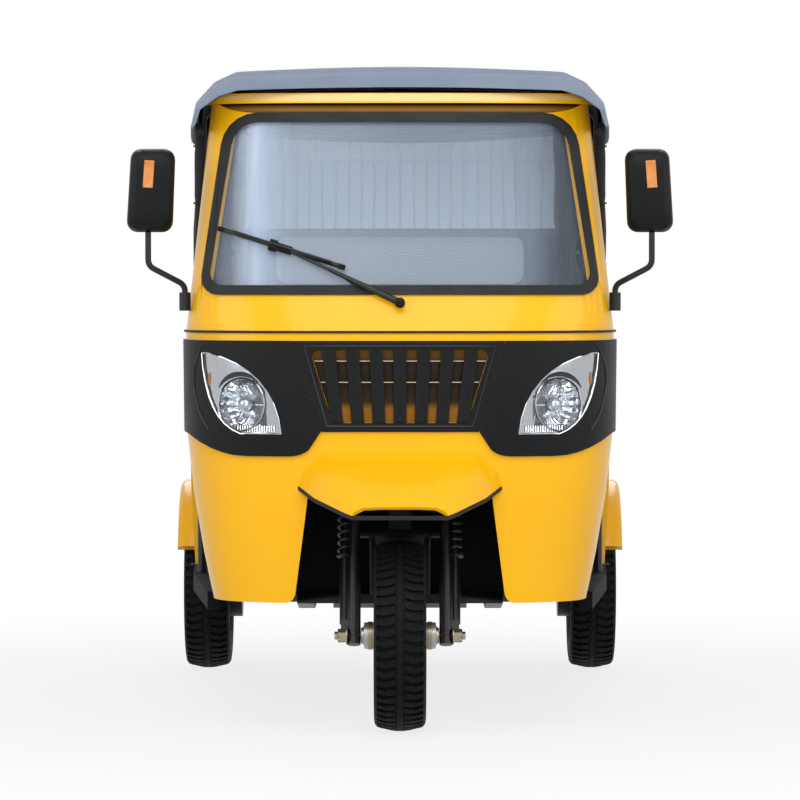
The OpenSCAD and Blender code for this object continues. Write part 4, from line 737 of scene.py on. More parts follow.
deselectAll()
bpy.ops.mesh.primitive_grid_add(x_subdivisions=columns, y_subdivisions=rows, size=1)
hood = named("hoodRoof")
moveVerts(hood, lambda co: roofPoint(roof["stations"][round((co.y + 0.5) * rows)],
                                     section[round((co.x + 0.5) * columns)]))
cleaned(hood)
for kind, index, value in roof["creases"]:  # pressed seams from front to back, and the folded front edge across
    def onSeam(edge):
        (rowA, a), (rowB, b) = [divmod(v, columns + 1) for v in edge.vertices]
        return a == b and abs(a - columns // 2) == index if kind == "along" else rowA == rowB == index

    selectWhere(hood, "EDGE", onSeam)
    bpy.ops.transform.edge_crease(value=value)
    inMode("OBJECT")
modify(hood, "SUBSURF", levels=3, render_levels=3, boundary_smooth="PRESERVE_CORNERS")


def sagged(co):  # hollows between the bows and light puckers along the front edge
    t = (co.y - bodyShape["axle"]) / roof["length"]
    k = max([i for i in range(len(roof["bows"]) - 1) if roof["bows"][i] <= t] or [0])
    f = share((t - roof["bows"][k]) / (roof["bows"][k + 1] - roof["bows"][k]))
    flat = max(0, 1 - (abs(co.x) / roof["flatHalf"]) ** 4)
    fade = max(0, 1 - (t - roof["puckerAt"]) * roof["puckerFade"])
    pucker = noise.noise(Vector((co.x * 14, co.z * 30, 2))) * roof["pucker"] * fade
    return Vector((co.x, co.y + pucker, co.z - roof["sag"] * math.sin(math.pi * f) ** 2 * flat))


moveVerts(hood, sagged)
hemPath = [roofPoint(roof["stations"][0], spot) for spot in section]
sidePath = [roofPoint(station, section[-1]) for station in roof["stations"][1:]]
tailPath = [roofPoint(roof["stations"][-1], spot) for spot in reversed(section)]
farPath = [Vector((-p.x, p.y, p.z)) for p in reversed(sidePath[:-1])]
middle = bodyShape["axle"] + roof["length"] / 2
hemLoop = [Vector((p.x * roof["hemIn"][0], mix(middle, p.y, roof["hemIn"][1]), p.z + roof["hemIn"][2]))
           for p in hemPath + sidePath + tailPath[1:] + farPath + hemPath[:1]]
modify(hood, "SOLIDIFY", thickness=roof["cloth"], offset=-1)
smooth(hood, 50)
hem = settle(rodOf("hoodHem", hemLoop, roof["hem"], bend="VECTOR"), canvas)
settle(hood, canvas, "hood_roof")

# side and rear canvas: the outer face of its solid, cut into a fine grid and let hang a little loose
rearCloth = {"grid": 0.026, "loose": 0.004, "rim": 0.08, "cloth": 0.003, "tall": 0.58, "window": (0.38, 1.145, 0.15),
             "corner": 0.04, "welt": 0.005, "weltOut": 0.001, "weltLean": 0.24}
drop = takeNode("hood_curtain", "rearCanvas", 0.05)
lowCorner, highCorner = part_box("hood_curtain")
middle = mix(lowCorner[1], highCorner[1], 0.3)


def outward(place):
    return Vector((place.x, max(0, place.y - middle), 0)).normalized()


selectWhere(drop, "FACE", lambda face: face.normal.dot(outward(face.center)) < 0.3)
bpy.ops.mesh.delete(type="FACE")
for axis, normal in enumerate(((1, 0, 0), (0, 1, 0), (0, 0, 1))):
    count = int((highCorner[axis] - lowCorner[axis]) / rearCloth["grid"])
    for i in range(1, count):
        cut = [0, 0, 0]
        cut[axis] = lowCorner[axis] + (highCorner[axis] - lowCorner[axis]) * i / count
        bpy.ops.mesh.select_all(action="SELECT")
        bpy.ops.mesh.bisect(plane_co=cut, plane_no=normal)
inMode("OBJECT")


def hangsLoose(co):
    rim = min(1, (co.z - lowCorner[2]) / rearCloth["rim"], (highCorner[2] - co.z) / rearCloth["rim"])
    folds = noise.noise(Vector((co.x * 7, co.y * 7, co.z * 2.2)))
    folds += 0.5 * noise.noise(Vector((co.x * 22, co.y * 22, co.z * 5)))
    return co - outward(co) * rearCloth["loose"] * max(0, rim) * (0.8 + folds)


moveVerts(drop, hangsLoose)
modify(drop, "SOLIDIFY", thickness=rearCloth["cloth"], offset=-1)
smooth(drop, 50)
settle(drop, darkCanvas, "hood_curtain")
half, sill, tall = rearCloth["window"]
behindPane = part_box("rear_window")[1][1] + rearCloth["weltOut"]
loop = roundLoop((-half, sill), (half, sill + tall), rearCloth["corner"])
weltPath = [Vector((x, behindPane - rearCloth["weltLean"] * (z - sill), z)) for x, z in loop + loop[:1]]
welt = settle(rodOf("windowWelt", weltPath, rearCloth["welt"]), darkCanvas)

# curtain: a wide cloth gathered on its rail, with a stitched heading and pressed pleats below it
drape = {"pleat": 0.0388, "fold": 0.0034, "depth": 0.0130, "stitch": 1.518, "columns": 420, "rows": 70, "sag": 0.022,
         "wander": 0.006, "heading": 0.02, "ruffle": (0.006, 0.002), "seam": 0.006, "swing": 0.003, "set": 0.0045,
         "reach": 0.0085, "tall": 0.28, "cloth": 0.0012}
lowCorner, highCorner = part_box("rear_curtain")


def gathered(across, up):
    x = mix(lowCorner[0], highCorner[0], across)
    top = highCorner[2] - drape["sag"] * (1 - (2 * across - 1) ** 2) - 0.001
    z = mix(lowCorner[2], top, up)
    wander = noise.noise(Vector((x * 9, z * 3, 1))) * drape["wander"]
    place = ((x + wander) / drape["pleat"]) % 1
    crease = max(0, 1 - min(place, 1 - place) * drape["pleat"] / drape["fold"])
    heading = share((z - drape["stitch"]) / drape["heading"])
    ruffle = noise.noise(Vector((x * 55, z * 9, 4))) * drape["ruffle"][0]
    ruffle += noise.noise(Vector((x * 120, z * 16, 6))) * drape["ruffle"][1]
    seam = max(0, 1 - abs(z - drape["stitch"]) / drape["seam"]) * drape["seam"]
    swing = noise.noise(Vector((x * 6, z * 4, 9))) * drape["swing"]
    y = drape["depth"] * crease * (1 - heading * 0.6) + ruffle * heading + seam + swing - drape["set"]
    return Vector((x, (lowCorner[1] + highCorner[1]) / 2 + max(-drape["reach"], min(drape["reach"], y)), z))


veil, veilArea = clothOf("rearCurtain", drape["columns"], drape["rows"], gathered, drape["cloth"])
settle(veil, curtainCloth, "rear_curtain")
print("curtain", round(veilArea, 3), "m2")

# seats: foam pads swollen by a cloth simulation, then sewn into channels
pads = {"seat_cushions": ("driverCushion", "benchCushion"), "seat_backrests": ("driverBackrest", "benchBackrest")}
padding = {"shrink": 0.007, "pressure": 4, "frames": 20, "cap": 0.016, "channel": 0.13, "groove": 0.006,
           "width": 0.011, "ends": 0.05, "endFade": 0.04, "face": 0.02, "faceFade": 0.03, "spare": 0.006,
           "bulge": 0.004, "voxel": {"driver": 0.007, "bench": 0.009}}


def swollen(piece, voxel):
    centre = sum((v.co for v in piece.data.vertices), Vector()) / len(piece.data.vertices)
    size = piece.dimensions.copy()
    moveVerts(piece, lambda co: centre + Vector([(co[i] - centre[i]) * (1 - 2 * padding["shrink"] / size[i])
                                                 for i in range(3)]))
    modify(piece, "REMESH", mode="VOXEL", voxel_size=voxel)
    start = [v.co.copy() for v in piece.data.vertices]
    activate(piece)
    cloth = piece.modifiers.new("cloth", "CLOTH")
    cloth.settings.use_pressure = True
    cloth.settings.uniform_pressure_force = padding["pressure"]
    cloth.settings.effector_weights.gravity = 0
    cloth.point_cache.frame_start, cloth.point_cache.frame_end = 1, padding["frames"]
    for number in range(1, padding["frames"] + 1):
        bpy.context.scene.frame_set(number)
    bpy.ops.object.modifier_apply(modifier=cloth.name)
    bpy.context.scene.frame_set(1)
    for vertex, place in zip(piece.data.vertices, start):
        move = vertex.co - place
        if move.length > padding["cap"]:
            vertex.co = place + move * (padding["cap"] / move.length)
    piece.data.update()


def within(value, low, high):  # 1 well inside a pad's ends, fading to 0 towards them
    return share((value - low - padding["ends"]) / padding["endFade"]) * \
        share((high - padding["ends"] - value) / padding["endFade"])


for node, names in pads.items():
    upright = node == "seat_backrests"
    takeNode(node, node + "Copy")
    editAll()
    bpy.ops.mesh.separate(type="LOOSE")
    inMode("OBJECT")
    parts = sorted(bpy.context.selected_objects, key=lambda part: part.bound_box[0][1])
    for part, name in zip(parts, names):
        part.name = part.data.name = name
        box = [Vector(corner) for corner in part.bound_box]
        low, high = [Vector([end(c[i] for c in box) for i in range(3)]) for end in (min, max)]
        swollen(part, padding["voxel"]["driver" if name.startswith("driver") else "bench"])
        count = max(2, round((high.x - low.x) / padding["channel"]))
        seams = [low.x + (high.x - low.x) * i / count for i in range(1, count)]

        def sewn(co):  # sewn channels run from front to back on a seat and up a backrest
            near = min(abs(co.x - seam) for seam in seams)
            groove = padding["groove"] * math.exp(-(near / padding["width"]) ** 2)
            if upright:
                face = share((high.y - padding["face"] - co.y) / padding["faceFade"]) * within(co.z, low.z, high.z)
                moved = Vector((co.x, co.y + groove * face, co.z))
            else:
                face = share((co.z - low.z - padding["face"]) / padding["faceFade"]) * within(co.y, low.y, high.y)
                moved = Vector((co.x, co.y, co.z - groove * face))
            return Vector([min(max(moved[i], low[i] - padding["spare"]), high[i] + padding["spare"])
                           for i in range(3)])

        moveVerts(part, sewn)
        modify(part, "SUBSURF", levels=1, render_levels=1)
        front = low.y - (padding["bulge"] if upright else 0)
        moveVerts(part, lambda co: Vector((co.x, min(max(co.y, front), high.y), max(co.z, low.z))))
        smooth(part, 60)
        settle(part, seatVinyl, node)
print("seats padded")

# grille: a sheet of painted shade in front of the yellow plate, and two bright rods behind the slats
grilleRecess = {"low": 0.795, "high": 0.979, "foot": (0.794, 0.172), "top": (0.980, 0.230), "edge": 0.001, "deep": -0.0112,
        "ripple": 0.0012, "thick": 0.0012, "rods": (0.951, 0.897), "rodRadius": 0.0013, "rodEnd": 0.003,
        "rodDeep": -0.004}
(footZ, footHalf), (topZ, topHalf) = grilleRecess["foot"], grilleRecess["top"]


def openingHalf(z):
    return mix(footHalf, topHalf, (z - footZ) / (topZ - footZ))


def shadeSheetPoint(u, v):
    z = mix(grilleRecess["low"], grilleRecess["high"], v)
    out = grilleRecess["deep"] + grilleRecess["ripple"] * math.sin(u * 90)
    return onFront((2 * u - 1) * (openingHalf(z) - grilleRecess["edge"]), z, out)


# this sheet carries painted shade over the plate behind the grille, dark in the middle and lighter at the top and
# bottom
settle(laidOut("grilleShadeSheet", 48, 10, shadeSheetPoint, grilleRecess["thick"]), grilleShadePaint)
for number, z in enumerate(grilleRecess["rods"], 1):
    half = openingHalf(z) - grilleRecess["rodEnd"]
    path = [onFront(x, z, grilleRecess["rodDeep"]) for x in between(-half, half, 9)]
    settle(rodOf("grilleRod%d" % number, path, grilleRecess["rodRadius"]), zincPlate)

# the slats' rounded faces, each leaning a little further out
slat = {"each": 3, "foot": 0.0535, "top": 0.0610, "wide": 0.031, "from": 0.797, "to": 0.977, "out": 0.0074,
        "crown": 0.0046, "thick": 0.0012}
crowns = []
for i in range(-slat["each"], slat["each"] + 1):
    def crowned(u, v):
        return onFront(i * mix(slat["foot"], slat["top"], v) + (u - 0.5) * slat["wide"],
                       mix(slat["from"], slat["to"], v), slat["out"] + slat["crown"] * (1 - (2 * u - 1) ** 2))

    crowns.append(laidOut("slatCrown%d" % (i + slat["each"]), 10, 12, crowned, slat["thick"]))
settle(joined("slatCrowns", crowns), blackPlastic)

# moulded beads on the black panels: round the grille's opening, and up the outer side of each lamp panel
bead = {"wider": 0.014, "taller": 0.009, "out": 0.0078, "radius": 0.0024,
        "side": [(0.511, 0.986), (0.528, 0.940), (0.533, 0.900), (0.526, 0.850), (0.512, 0.808), (0.490, 0.772)]}
frameLoop = []
for half, z in ((footHalf + bead["wider"], footZ - bead["taller"]),
                (-topHalf - bead["wider"], topZ + bead["taller"])):
    frameLoop += [onFront(x, z, bead["out"]) for x in between(-half, half, 9)]
settle(rodOf("grilleBead", frameLoop + frameLoop[:1], bead["radius"], bend="VECTOR"), blackSteel,
       slot="black_plastic")
sideLine = [onFront(x, z, bead["out"]) for x, z in bead["side"]]
settlePair(rodOf("panelBeadLeft", sideLine, bead["radius"]), blackSteel, slot="black_plastic")

# header: a painted highlight on the rolled edge, over a strip of painted shade in the recess under it
header = {"half": 0.478, "trim": (1.6195, 1.6405), "out": 0.0166, "trimThick": 0.0012,
          "gutterHalf": 0.472, "gutter": (1.5900, 1.6155), "gutterOut": 0.0012, "gutterThick": 0.0016}


def highlightStripPoint(u, v):
    across = 2 * u - 1
    up = 0.5 + (v - 0.5) * (1 - abs(across) ** 6 * 0.8)
    return onFront(across * header["half"], mix(*header["trim"], up), header["out"])


def shadeStripPoint(u, v):
    across = 2 * u - 1
    low, high = header["gutter"]
    return onFront(across * header["gutterHalf"], high - (high - low) * (1 - v) * (1 - abs(across) ** 12),
                   header["gutterOut"])


# the pale strip over the rolled edge of the header is a painted highlight
settle(laidOut("headerHighlightStrip", 64, 3, highlightStripPoint, header["trimThick"]), paleMarksAndHighlight)
# the dark strip under the header is painted shade
settle(laidOut("headerShadeStrip", 64, 3, shadeStripPoint, header["gutterThick"]), headerShadePaint)
print("grille and header trimmed")

# headlamps: a bulb shade on stays in a fluted dish, the dish's bright rim, a dark brow, a ribbed foot, an amber bulb
# and the lens's bright edge; outlines are (radius, height) in the dish's own frame
headlamp = {"x": 0.406, "z": 0.8393, "deep": -0.002, "probe": 0.03, "panel": (0.708, 0.295),
            "outline": [(0.910, 0.888), (0.891, 0.295), (0.726, 0.193),
                        (0.539, 0.193), (0.579, 0.769), (0.880, 0.888)],
            "bezel": 0.0024, "bezelOut": 0.0066, "stays": (90, 210, 330),
            "stay": ((0.003, 0.040, 0.006), (0, 0.036, -0.034), 0.001),
            "rim": [(0.0655, -0.001), (0.0675, -0.002), (0.0705, 0.0005), (0.0700, 0.003), (0.0680, 0.004),
                    (0.0655, 0.002)],
            "shade": [(0, -0.050), (0.013, -0.050), (0.0145, -0.040), (0.0175, -0.036), (0.0185, -0.022),
                      (0.0160, -0.014), (0.0100, -0.009), (0, -0.007)],
            "dish": [(0.030, -0.0585), (0.050, -0.0440), (0.062, -0.0250), (0.0655, -0.006), (0.0670, -0.004),
                     (0.0665, -0.0240), (0.052, -0.0470), (0.031, -0.0610)], "flute": 0.022, "fluteFrom": -0.055,
            "brow": {"radius": 0.0715, "wide": 0.013, "from": 35, "turn": 95, "out": -0.0008, "thick": 0.0014},
            "foot": {"x": (0.318, 0.418), "z": (0.770, 0.786), "out": -0.0014, "rib": 0.0012, "ribs": 16,
                     "thick": 0.0006},
            "amber": (0.486, 0.903), "amberDeep": -0.003, "amberShape": (0.55, 1.5, 1, 1),
            "bulb": [(0, -0.006), (0.011, -0.006), (0.0125, -0.001), (0.0100, 0.003), (0.0055, 0.0045), (0, 0.005)]}
lampX, lampZ, probe = headlamp["x"], headlamp["z"], headlamp["probe"]
tilt = (onFront(lampX + probe, lampZ) - onFront(lampX - probe, lampZ)).cross(
    onFront(lampX, lampZ + probe) - onFront(lampX, lampZ - probe)).normalized()
facing = facingWay(onFront(lampX, lampZ, headlamp["deep"]), tilt)
unfaced = facing.inverted()


def sweep(a, b, c, count):  # points along a curve from a to c that is drawn towards b
    return [tuple(a[i] * (1 - t) ** 2 + 2 * b[i] * t * (1 - t) + c[i] * t * t for i in (0, 1))
            for t in between(0, 1, count)]


def fluted(co):
    local = unfaced @ co
    ripple = abs(math.sin(math.atan2(local.y, local.x) * 9)) if local.z > headlamp["fluteFrom"] else 0
    swell = 1 + headlamp["flute"] * ripple
    return facing @ Vector((local.x / swell, local.y / swell, local.z))


def browed(u, v):
    brow = headlamp["brow"]
    radius = brow["radius"] + brow["wide"] * v * math.sin(math.pi * u)
    turn = math.radians(brow["from"] + brow["turn"] * u)
    return onFront(lampX + radius * math.cos(turn), lampZ + radius * math.sin(turn), brow["out"])


def footed(u, v):
    rib = headlamp["foot"]["rib"] * abs(math.sin(u * math.pi * headlamp["foot"]["ribs"]))
    return onFront(mix(*headlamp["foot"]["x"], u), mix(*headlamp["foot"]["z"], v), headlamp["foot"]["out"] + rib)


corners = [(x * bodyShape["half"], headlamp["panel"][0] + z * headlamp["panel"][1]) for x, z in headlamp["outline"]]
lensEdge = sweep(*corners[:3], 9) + sweep(*corners[3:], 9)
inserts = [(lathe("dishRim", headlamp["rim"], 56, facing), chrome),
           (lathe("bulbShade", headlamp["shade"], 32, facing), chrome)]
for turn in headlamp["stays"]:
    inserts.append((roundedBox("shadeStay", *headlamp["stay"], 2, facing @ turned(turn, "Z")), chrome))
flutes = lathe("dishFlutes", headlamp["dish"], 72, facing)
moveVerts(flutes, fluted)
amberPlace = Matrix.Translation(onFront(*headlamp["amber"], headlamp["amberDeep"])) @ turned(90, "X") \
    @ Matrix.Diagonal(headlamp["amberShape"])
bezelPath = [onFront(x, z, headlamp["bezelOut"]) for x, z in lensEdge + lensEdge[:1]]
inserts += [(flutes, chrome), (laidOut("lampBrow", 28, 2, browed, headlamp["brow"]["thick"]), blackPlastic),
            (laidOut("lampRibs", 96, 3, footed, headlamp["foot"]["thick"]), chrome),
            (lathe("amberBulb", headlamp["bulb"], 24, amberPlace), amberLens),
            (rodOf("lensBezel", bezelPath, headlamp["bezel"], bend="VECTOR"), chrome)]
for piece, material in inserts:
    smooth(piece, 40)
    settlePair(piece, material)
print("headlamps filled:", len(inserts))

# wiper: a wedge over the arm, the blade's bow and clips, and a thin second arm
wipe = {"pivot": (0.0, 1.100), "blade": [(-0.470, 1.2918), (-0.1425, 1.1899)], "clip": 0.54, "lift": 0.010,
        "wedge": 0.0075, "wedgeLift": (0.018, 0.014), "wedgeEnds": (0.02, 0.62), "taper": (1.25, 0.40),
        "cap": [(0, -0.004), (0.0125, -0.004), (0.0135, -0.001), (0.0125, 0.004), (0.008, 0.007), (0, 0.008)],
        "capLift": 0.026, "bow": 0.0028, "bowLift": (0.012, 0.012), "bowUp": 0.005, "bowEnds": (0.12, 0.9),
        "stay": [(-0.241, 1.222), (-0.118, 1.146)], "stayLift": 0.008, "stayRadius": 0.0016,
        "clips": [("bladeClip", 0.50, (0.062, 0.016, 0.022)), ("bladeSaddle", 0.44, (0.022, 0.020, 0.030)),
                  ("bladeEnd", 0.02, (0.016, 0.012, 0.013)), ("bladeFoot", 0.98, (0.018, 0.012, 0.014))]}


def onGlass(a, b, t, lift):
    return onFront(mix(a[0], b[0], t), mix(a[1], b[1], t), lift)


pivot, (tip, root) = wipe["pivot"], wipe["blade"]
clip = [mix(tip[i], root[i], wipe["clip"]) for i in (0, 1)]


def onArm(t):
    return onGlass(pivot, clip, t, mix(*wipe["wedgeLift"], t))


def tapered(co):  # drawn out thinner towards its tip
    t = share((co.x - pivot[0]) / (clip[0] - pivot[0]))
    return onArm(t) + (co - onArm(t)) * mix(*wipe["taper"], t)


wedge = rodOf("wiperWedge", [onArm(t) for t in between(*wipe["wedgeEnds"], 7)], wipe["wedge"], 12)
moveVerts(wedge, tapered)
settle(wedge, blackSteel)
cap = lathe("wiperCap", wipe["cap"], 24, Matrix.Translation(onFront(*pivot, wipe["capLift"])) @ turned(90, "X"))
smooth(cap, 40)
settle(cap, blackPlastic)
slope = math.atan2(root[1] - tip[1], root[0] - tip[0])
for name, along, size in wipe["clips"]:
    spot = onGlass(tip, root, along, wipe["lift"])
    settle(roundedBox(name, size, (0, 0, 0), 0.003, 3, Matrix.Translation(spot) @ Matrix.Rotation(-slope, 4, "Y")),
           blackPlastic)
bowPath = [onGlass(tip, root, t, wipe["bowLift"][0] + wipe["bowLift"][1] * math.sin(math.pi * t))
           + Vector((0, 0, wipe["bowUp"])) for t in between(*wipe["bowEnds"], 9)]
settle(rodOf("bladeBow", bowPath, wipe["bow"]), blackSteel)
stayPath = [onGlass(*wipe["stay"], t, wipe["stayLift"]) for t in between(0, 1, 5)]
settle(rodOf("wiperStay", stayPath, wipe["stayRadius"]), blackSteel)
print("wiper fitted")

# front axle: plated nuts with their washers, spacers beside the hub and a collar on it
axle = {"place": (0, -1.04, 0.245), "nut": (0.1355, 0.1625), "spacer": (0.0935, 0.1005), "collar": (0.0700, 0.0932)}
a, b = axle["nut"]
nut = lathe("axleNut", [(0, a), (0.0168, a), (0.0178, a + 0.001), (0.0178, b - 0.005), (0.0160, b - 0.003),
                        (0.0105, b - 0.003), (0.0105, b + 0.004), (0.0085, b + 0.006), (0, b + 0.006)], 6)
washer = lathe("axleWasher", [(0.0125, a - 0.0005), (0.0225, a - 0.0005), (0.0235, a + 0.0008), (0.0225, a + 0.0028),
                              (0.0125, a + 0.0028)], 32)
a, b = axle["spacer"]
spacer = lathe("axleSpacer", [(0.0125, a), (0.0230, a), (0.0220, (a + b) / 2), (0.0185, b), (0.0125, b)], 32)
a, b = axle["collar"]
collar = lathe("hubCollar", [(0.0345, a), (0.0362, a + 0.001), (0.0362, b - 0.012), (0.0335, b - 0.009),
                             (0.0290, b - 0.003), (0.0270, b), (0.0130, b), (0.0130, b - 0.001),
                             (0.0345, a + 0.001)], 40)
for piece, body in ((nut, "steering"), (washer, "steering"), (spacer, "steering"), (collar, "front_wheel")):
    smooth(piece, 35)
    for side, turn in (("Left", 90), ("Right", -90)):
        move = Matrix.Translation(axle["place"]) @ turned(turn, "Y")
        settle(copyOf(piece, piece.name + side, move), zincPlate, body=body)
    bpy.data.objects.remove(piece)
print("axle nuts fitted")

# side curtains: dark canvas gathered in folds and strapped to the hoop on each side
bundle = {"x": 0.470, "y": 0.020, "low": 1.130, "high": 1.680, "tie": 1.235, "folds": 5, "wide": 0.068,
          "deep": 0.024, "pinch": 0.55, "pinchTall": 0.05, "narrow": 0.15, "curl": 0.010, "loose": 0.35,
          "lean": 0.02, "crumple": 0.004, "cloth": 0.0016, "strap": (0.026, 0.022), "strapRadius": 0.004}


def folded(u, v):
    z = mix(bundle["low"], bundle["high"], v)
    tied = math.exp(-((z - bundle["tie"]) / bundle["pinchTall"]) ** 2)
    pinch = 1 - bundle["pinch"] * tied - bundle["narrow"] * v
    turn = u * bundle["folds"] * 2 * math.pi
    loose = 1 + bundle["loose"] * noise.noise(Vector((u * 6, z * 7, 3)))
    across = (u - 0.5) * bundle["wide"] + bundle["curl"] * math.sin(2 * turn)
    x = bundle["x"] + across * pinch - bundle["lean"] * v ** 3
    crumple = bundle["crumple"] * noise.noise(Vector((u * 9, z * 11, 5)))
    return Vector((x + crumple, bundle["y"] + bundle["deep"] * math.sin(turn) * pinch * loose, z))


def hoopOf(side, x, y, z, reach):  # a closed loop of a strap round an upright bundle
    return [Vector((side * (x + reach[0] * math.cos(t)), y + reach[1] * math.sin(t), z))
            for t in between(0, 2 * math.pi, 13)]


for name, side in (("sideCurtainLeft", 1), ("sideCurtainRight", -1)):
    fold, area = clothOf(name, 110, 46, onSide(side, folded), bundle["cloth"])
    loop = hoopOf(side, bundle["x"], bundle["y"], bundle["tie"], bundle["strap"])
    strap = settle(rodOf(name.replace("Curtain", "Strap"), loop, bundle["strapRadius"]), darkCanvas)
    settle(fold, darkCanvas)
    tall = bundle["high"] - bundle["low"]
print("side curtains strapped")

# blinds: dark canvas rolled up behind each windscreen pillar and strapped
blind = {"x": 0.526, "y": -0.706, "low": 1.120, "high": 1.570, "radius": 0.0165, "turns": 2.6, "pitch": 0.0034,
         "crumple": 0.0012, "nip": 0.12, "nipTall": 0.012, "cloth": 0.0014, "straps": (1.20, 1.36, 1.51),
         "strapAt": 0.0161, "strapRadius": 0.0030}


def rolled(u, v):
    z = mix(blind["low"], blind["high"], v)
    turn = u * blind["turns"] * 2 * math.pi
    crumple = blind["crumple"] * noise.noise(Vector((math.cos(turn) * 2, math.sin(turn) * 2, z * 16)))
    radius = blind["radius"] - blind["pitch"] * (blind["turns"] - turn / (2 * math.pi)) + crumple
    nip = 1 - blind["nip"] * max(math.exp(-((z - strap) / blind["nipTall"]) ** 2) for strap in blind["straps"])
    return Vector((blind["x"] + radius * nip * math.cos(turn), blind["y"] + radius * nip * math.sin(turn), z))


for name, side in (("rolledBlindLeft", 1), ("rolledBlindRight", -1)):
    roll, area = clothOf(name, 76, 60, onSide(side, rolled), blind["cloth"])
    for number, z in enumerate(blind["straps"], 1):
        loop = hoopOf(side, blind["x"], blind["y"], z, (blind["strapAt"], blind["strapAt"]))
        settle(rodOf(name + "Strap%d" % number, loop, blind["strapRadius"]), darkCanvas)
    settle(roll, darkCanvas)
    tall = blind["high"] - blind["low"]
print("blinds rolled")

# pillar linings: narrow painted plates inside the windscreen pillars, as height, inner and outer edge
lining = {"y": -0.850, "foot": (1.100, 0.497, 0.538), "head": (1.585, 0.424, 0.490), "curl": 0.010, "lean": 0.07,
          "thick": 0.0014}


def lined(u, v):
    z, inner, outer = [mix(a, b, v) for a, b in zip(lining["foot"], lining["head"])]
    curl = lining["curl"] * max(0, 1 - u * 5) ** 2
    return Vector((mix(inner, outer, u), lining["y"] + curl + lining["lean"] * v, z))


for name, side in (("pillarLiningLeft", 1), ("pillarLiningRight", -1)):
    settle(laidOut(name, 16, 24, onSide(side, lined), lining["thick"]), paint)
print("pillars lined")

outside = 1.5  # a distance outside the tricycle, from which lines are cast at it
toFront, toRear = (0, -1, 0), (0, 1, 0)


def surfaceOf(piece):  # a look-up of where a straight line first meets a piece
    tree = BVHTree.FromPolygons([v.co.copy() for v in piece.data.vertices],
                                [tuple(f.vertices) for f in piece.data.polygons])
    return lambda start, way: tree.ray_cast(Vector(start), Vector(way))[0]


def backOf(piece):  # a look-up of a piece's rear face at a place across and a height, lifted off it by out
    meet = surfaceOf(piece)
    return lambda x, z, out=0.0: meet((x, outside, z), toFront) + Vector((0, out, 0))


onLid, onTail, onTub = [backOf(dressed[node]) for node in ("engine_lid", "tail_lamps", "rear_tub")]

# engine lid: pressed louvres open at the bottom, and a turning latch
louvre = {"wide": 0.230, "tall": 0.026, "lift": 0.0006, "proud": 0.010, "thick": 0.0012, "x": 0.150,
          "rows": (0.625, 0.667, 0.709, 0.751, 0.793)}
latch = {"z": 0.515, "plate": 0.021, "handle": (0.078, 0.016, 0.012)}


def louvred(u, v):
    across = 2 * u - 1
    proud = louvre["proud"] * math.cos(v * math.pi / 2) ** 0.8 * (1 - across ** 6)
    return onLid(louvre["x"] + across * louvre["wide"] / 2, louvre["rows"][0] + (v - 0.5) * louvre["tall"],
                 louvre["lift"] + proud)


press = laidOut("lidLouvre", 20, 6, louvred, louvre["thick"])
first = onLid(louvre["x"], louvre["rows"][0])
moves = [Matrix.Translation(onLid(side * louvre["x"], z) - first) for side in (1, -1) for z in louvre["rows"]]
settle(repeated(press, "lidLouvres", moves), paint, body="lid")
latchPlace = facingWay(onLid(0, latch["z"]), toRear)
r = latch["plate"]
knob = lathe("latchPlate", [(0, -0.002), (r, -0.002), (r, 0.002), (r - 0.005, 0.006), (0, 0.007)], 28, latchPlace)
smooth(knob, 40)
lever = roundedBox("latchLever", latch["handle"], (0, 0, 0.011), 0.004, 3, latchPlace)
settle(joined("lidLatch", [knob, lever]), blackSteel, body="lid")
print("engine lid fitted:", len(moves), "louvres")

# tail lamps: amber, red and reflector fields with moulded ribs, and a rubber gasket round each lamp
tail = {"x": (0.430, 0.516), "z": (0.600, 0.770), "rim": 0.006, "corner": 0.014, "gasket": 0.004, "gasketOut": 0.002,
        "lift": 0.0008, "rib": 0.0016, "thick": 0.0012,
        "fields": [("tailAmberLeft", 0.724, 0.763, 4, amberLens), ("tailRedLeft", 0.656, 0.717, 6, redLens),
                   ("tailReflectorLeft", 0.607, 0.649, 9, redLens)]}
for name, low, high, count, material in tail["fields"]:
    def ribbed(u, v):
        return onTail(mix(tail["x"][0] + tail["rim"], tail["x"][1] - tail["rim"], u), mix(low, high, v),
                      tail["lift"] + tail["rib"] * abs(math.sin(v * math.pi * count)))

    settlePair(laidOut(name, 10, 6 * count, ribbed, tail["thick"]), material)
lampLoop = [onTub(x, z, tail["gasketOut"]) for x, z in roundLoop(*zip(tail["x"], tail["z"]), tail["corner"])]
settlePair(rodOf("tailGasketLeft", lampLoop + lampLoop[:1], tail["gasket"], bend="VECTOR"), rubber)
print("tail lamps ribbed")

# floor mats: ribbed rubber ahead of the driver's seat and ahead of the bench
mats = {"floor": 0.3432, "rib": 0.018, "rise": 0.004, "cloth": 0.0018,
        "fields": [("driverMat", (-0.490, 0.490), (-0.630, -0.395)),
                   ("passengerMat", (-0.520, 0.520), (0.040, 0.405))]}
for name, across, along in mats["fields"]:
    def ridged(u, v):
        x = mix(*across, u)
        rise = mats["rise"] * (0.5 + 0.5 * math.sin(2 * math.pi * x / mats["rib"])) * (1 - abs(2 * v - 1) ** 24)
        return Vector((x, mix(*along, v), mats["floor"] + rise))

    settle(laidOut(name, int((across[1] - across[0]) / mats["rib"] * 6), 24, ridged, mats["cloth"]), rubber)

# bench aprons close the bench beside its base, and inner arches close the tub above the rear wheels
bench = {"y": 0.434, "inner": (0.452, 0.533), "outer": 0.577, "foot": 0.3435, "seat": 0.646, "top": 0.760,
         "bow": 0.004}
arch = {"x": (0.462, 0.577), "start": 0.446, "end": 1.100, "floor": 0.346, "axle": (0.940, 0.245), "radius": 0.300}
lapThick = 0.0020


def apron(u, v):
    z = mix(bench["foot"], bench["top"], v)
    inner = bench["inner"][0 if z < bench["seat"] else 1]
    return Vector((mix(inner, bench["outer"], u), bench["y"] + bench["bow"] * math.sin(math.pi * u), z))


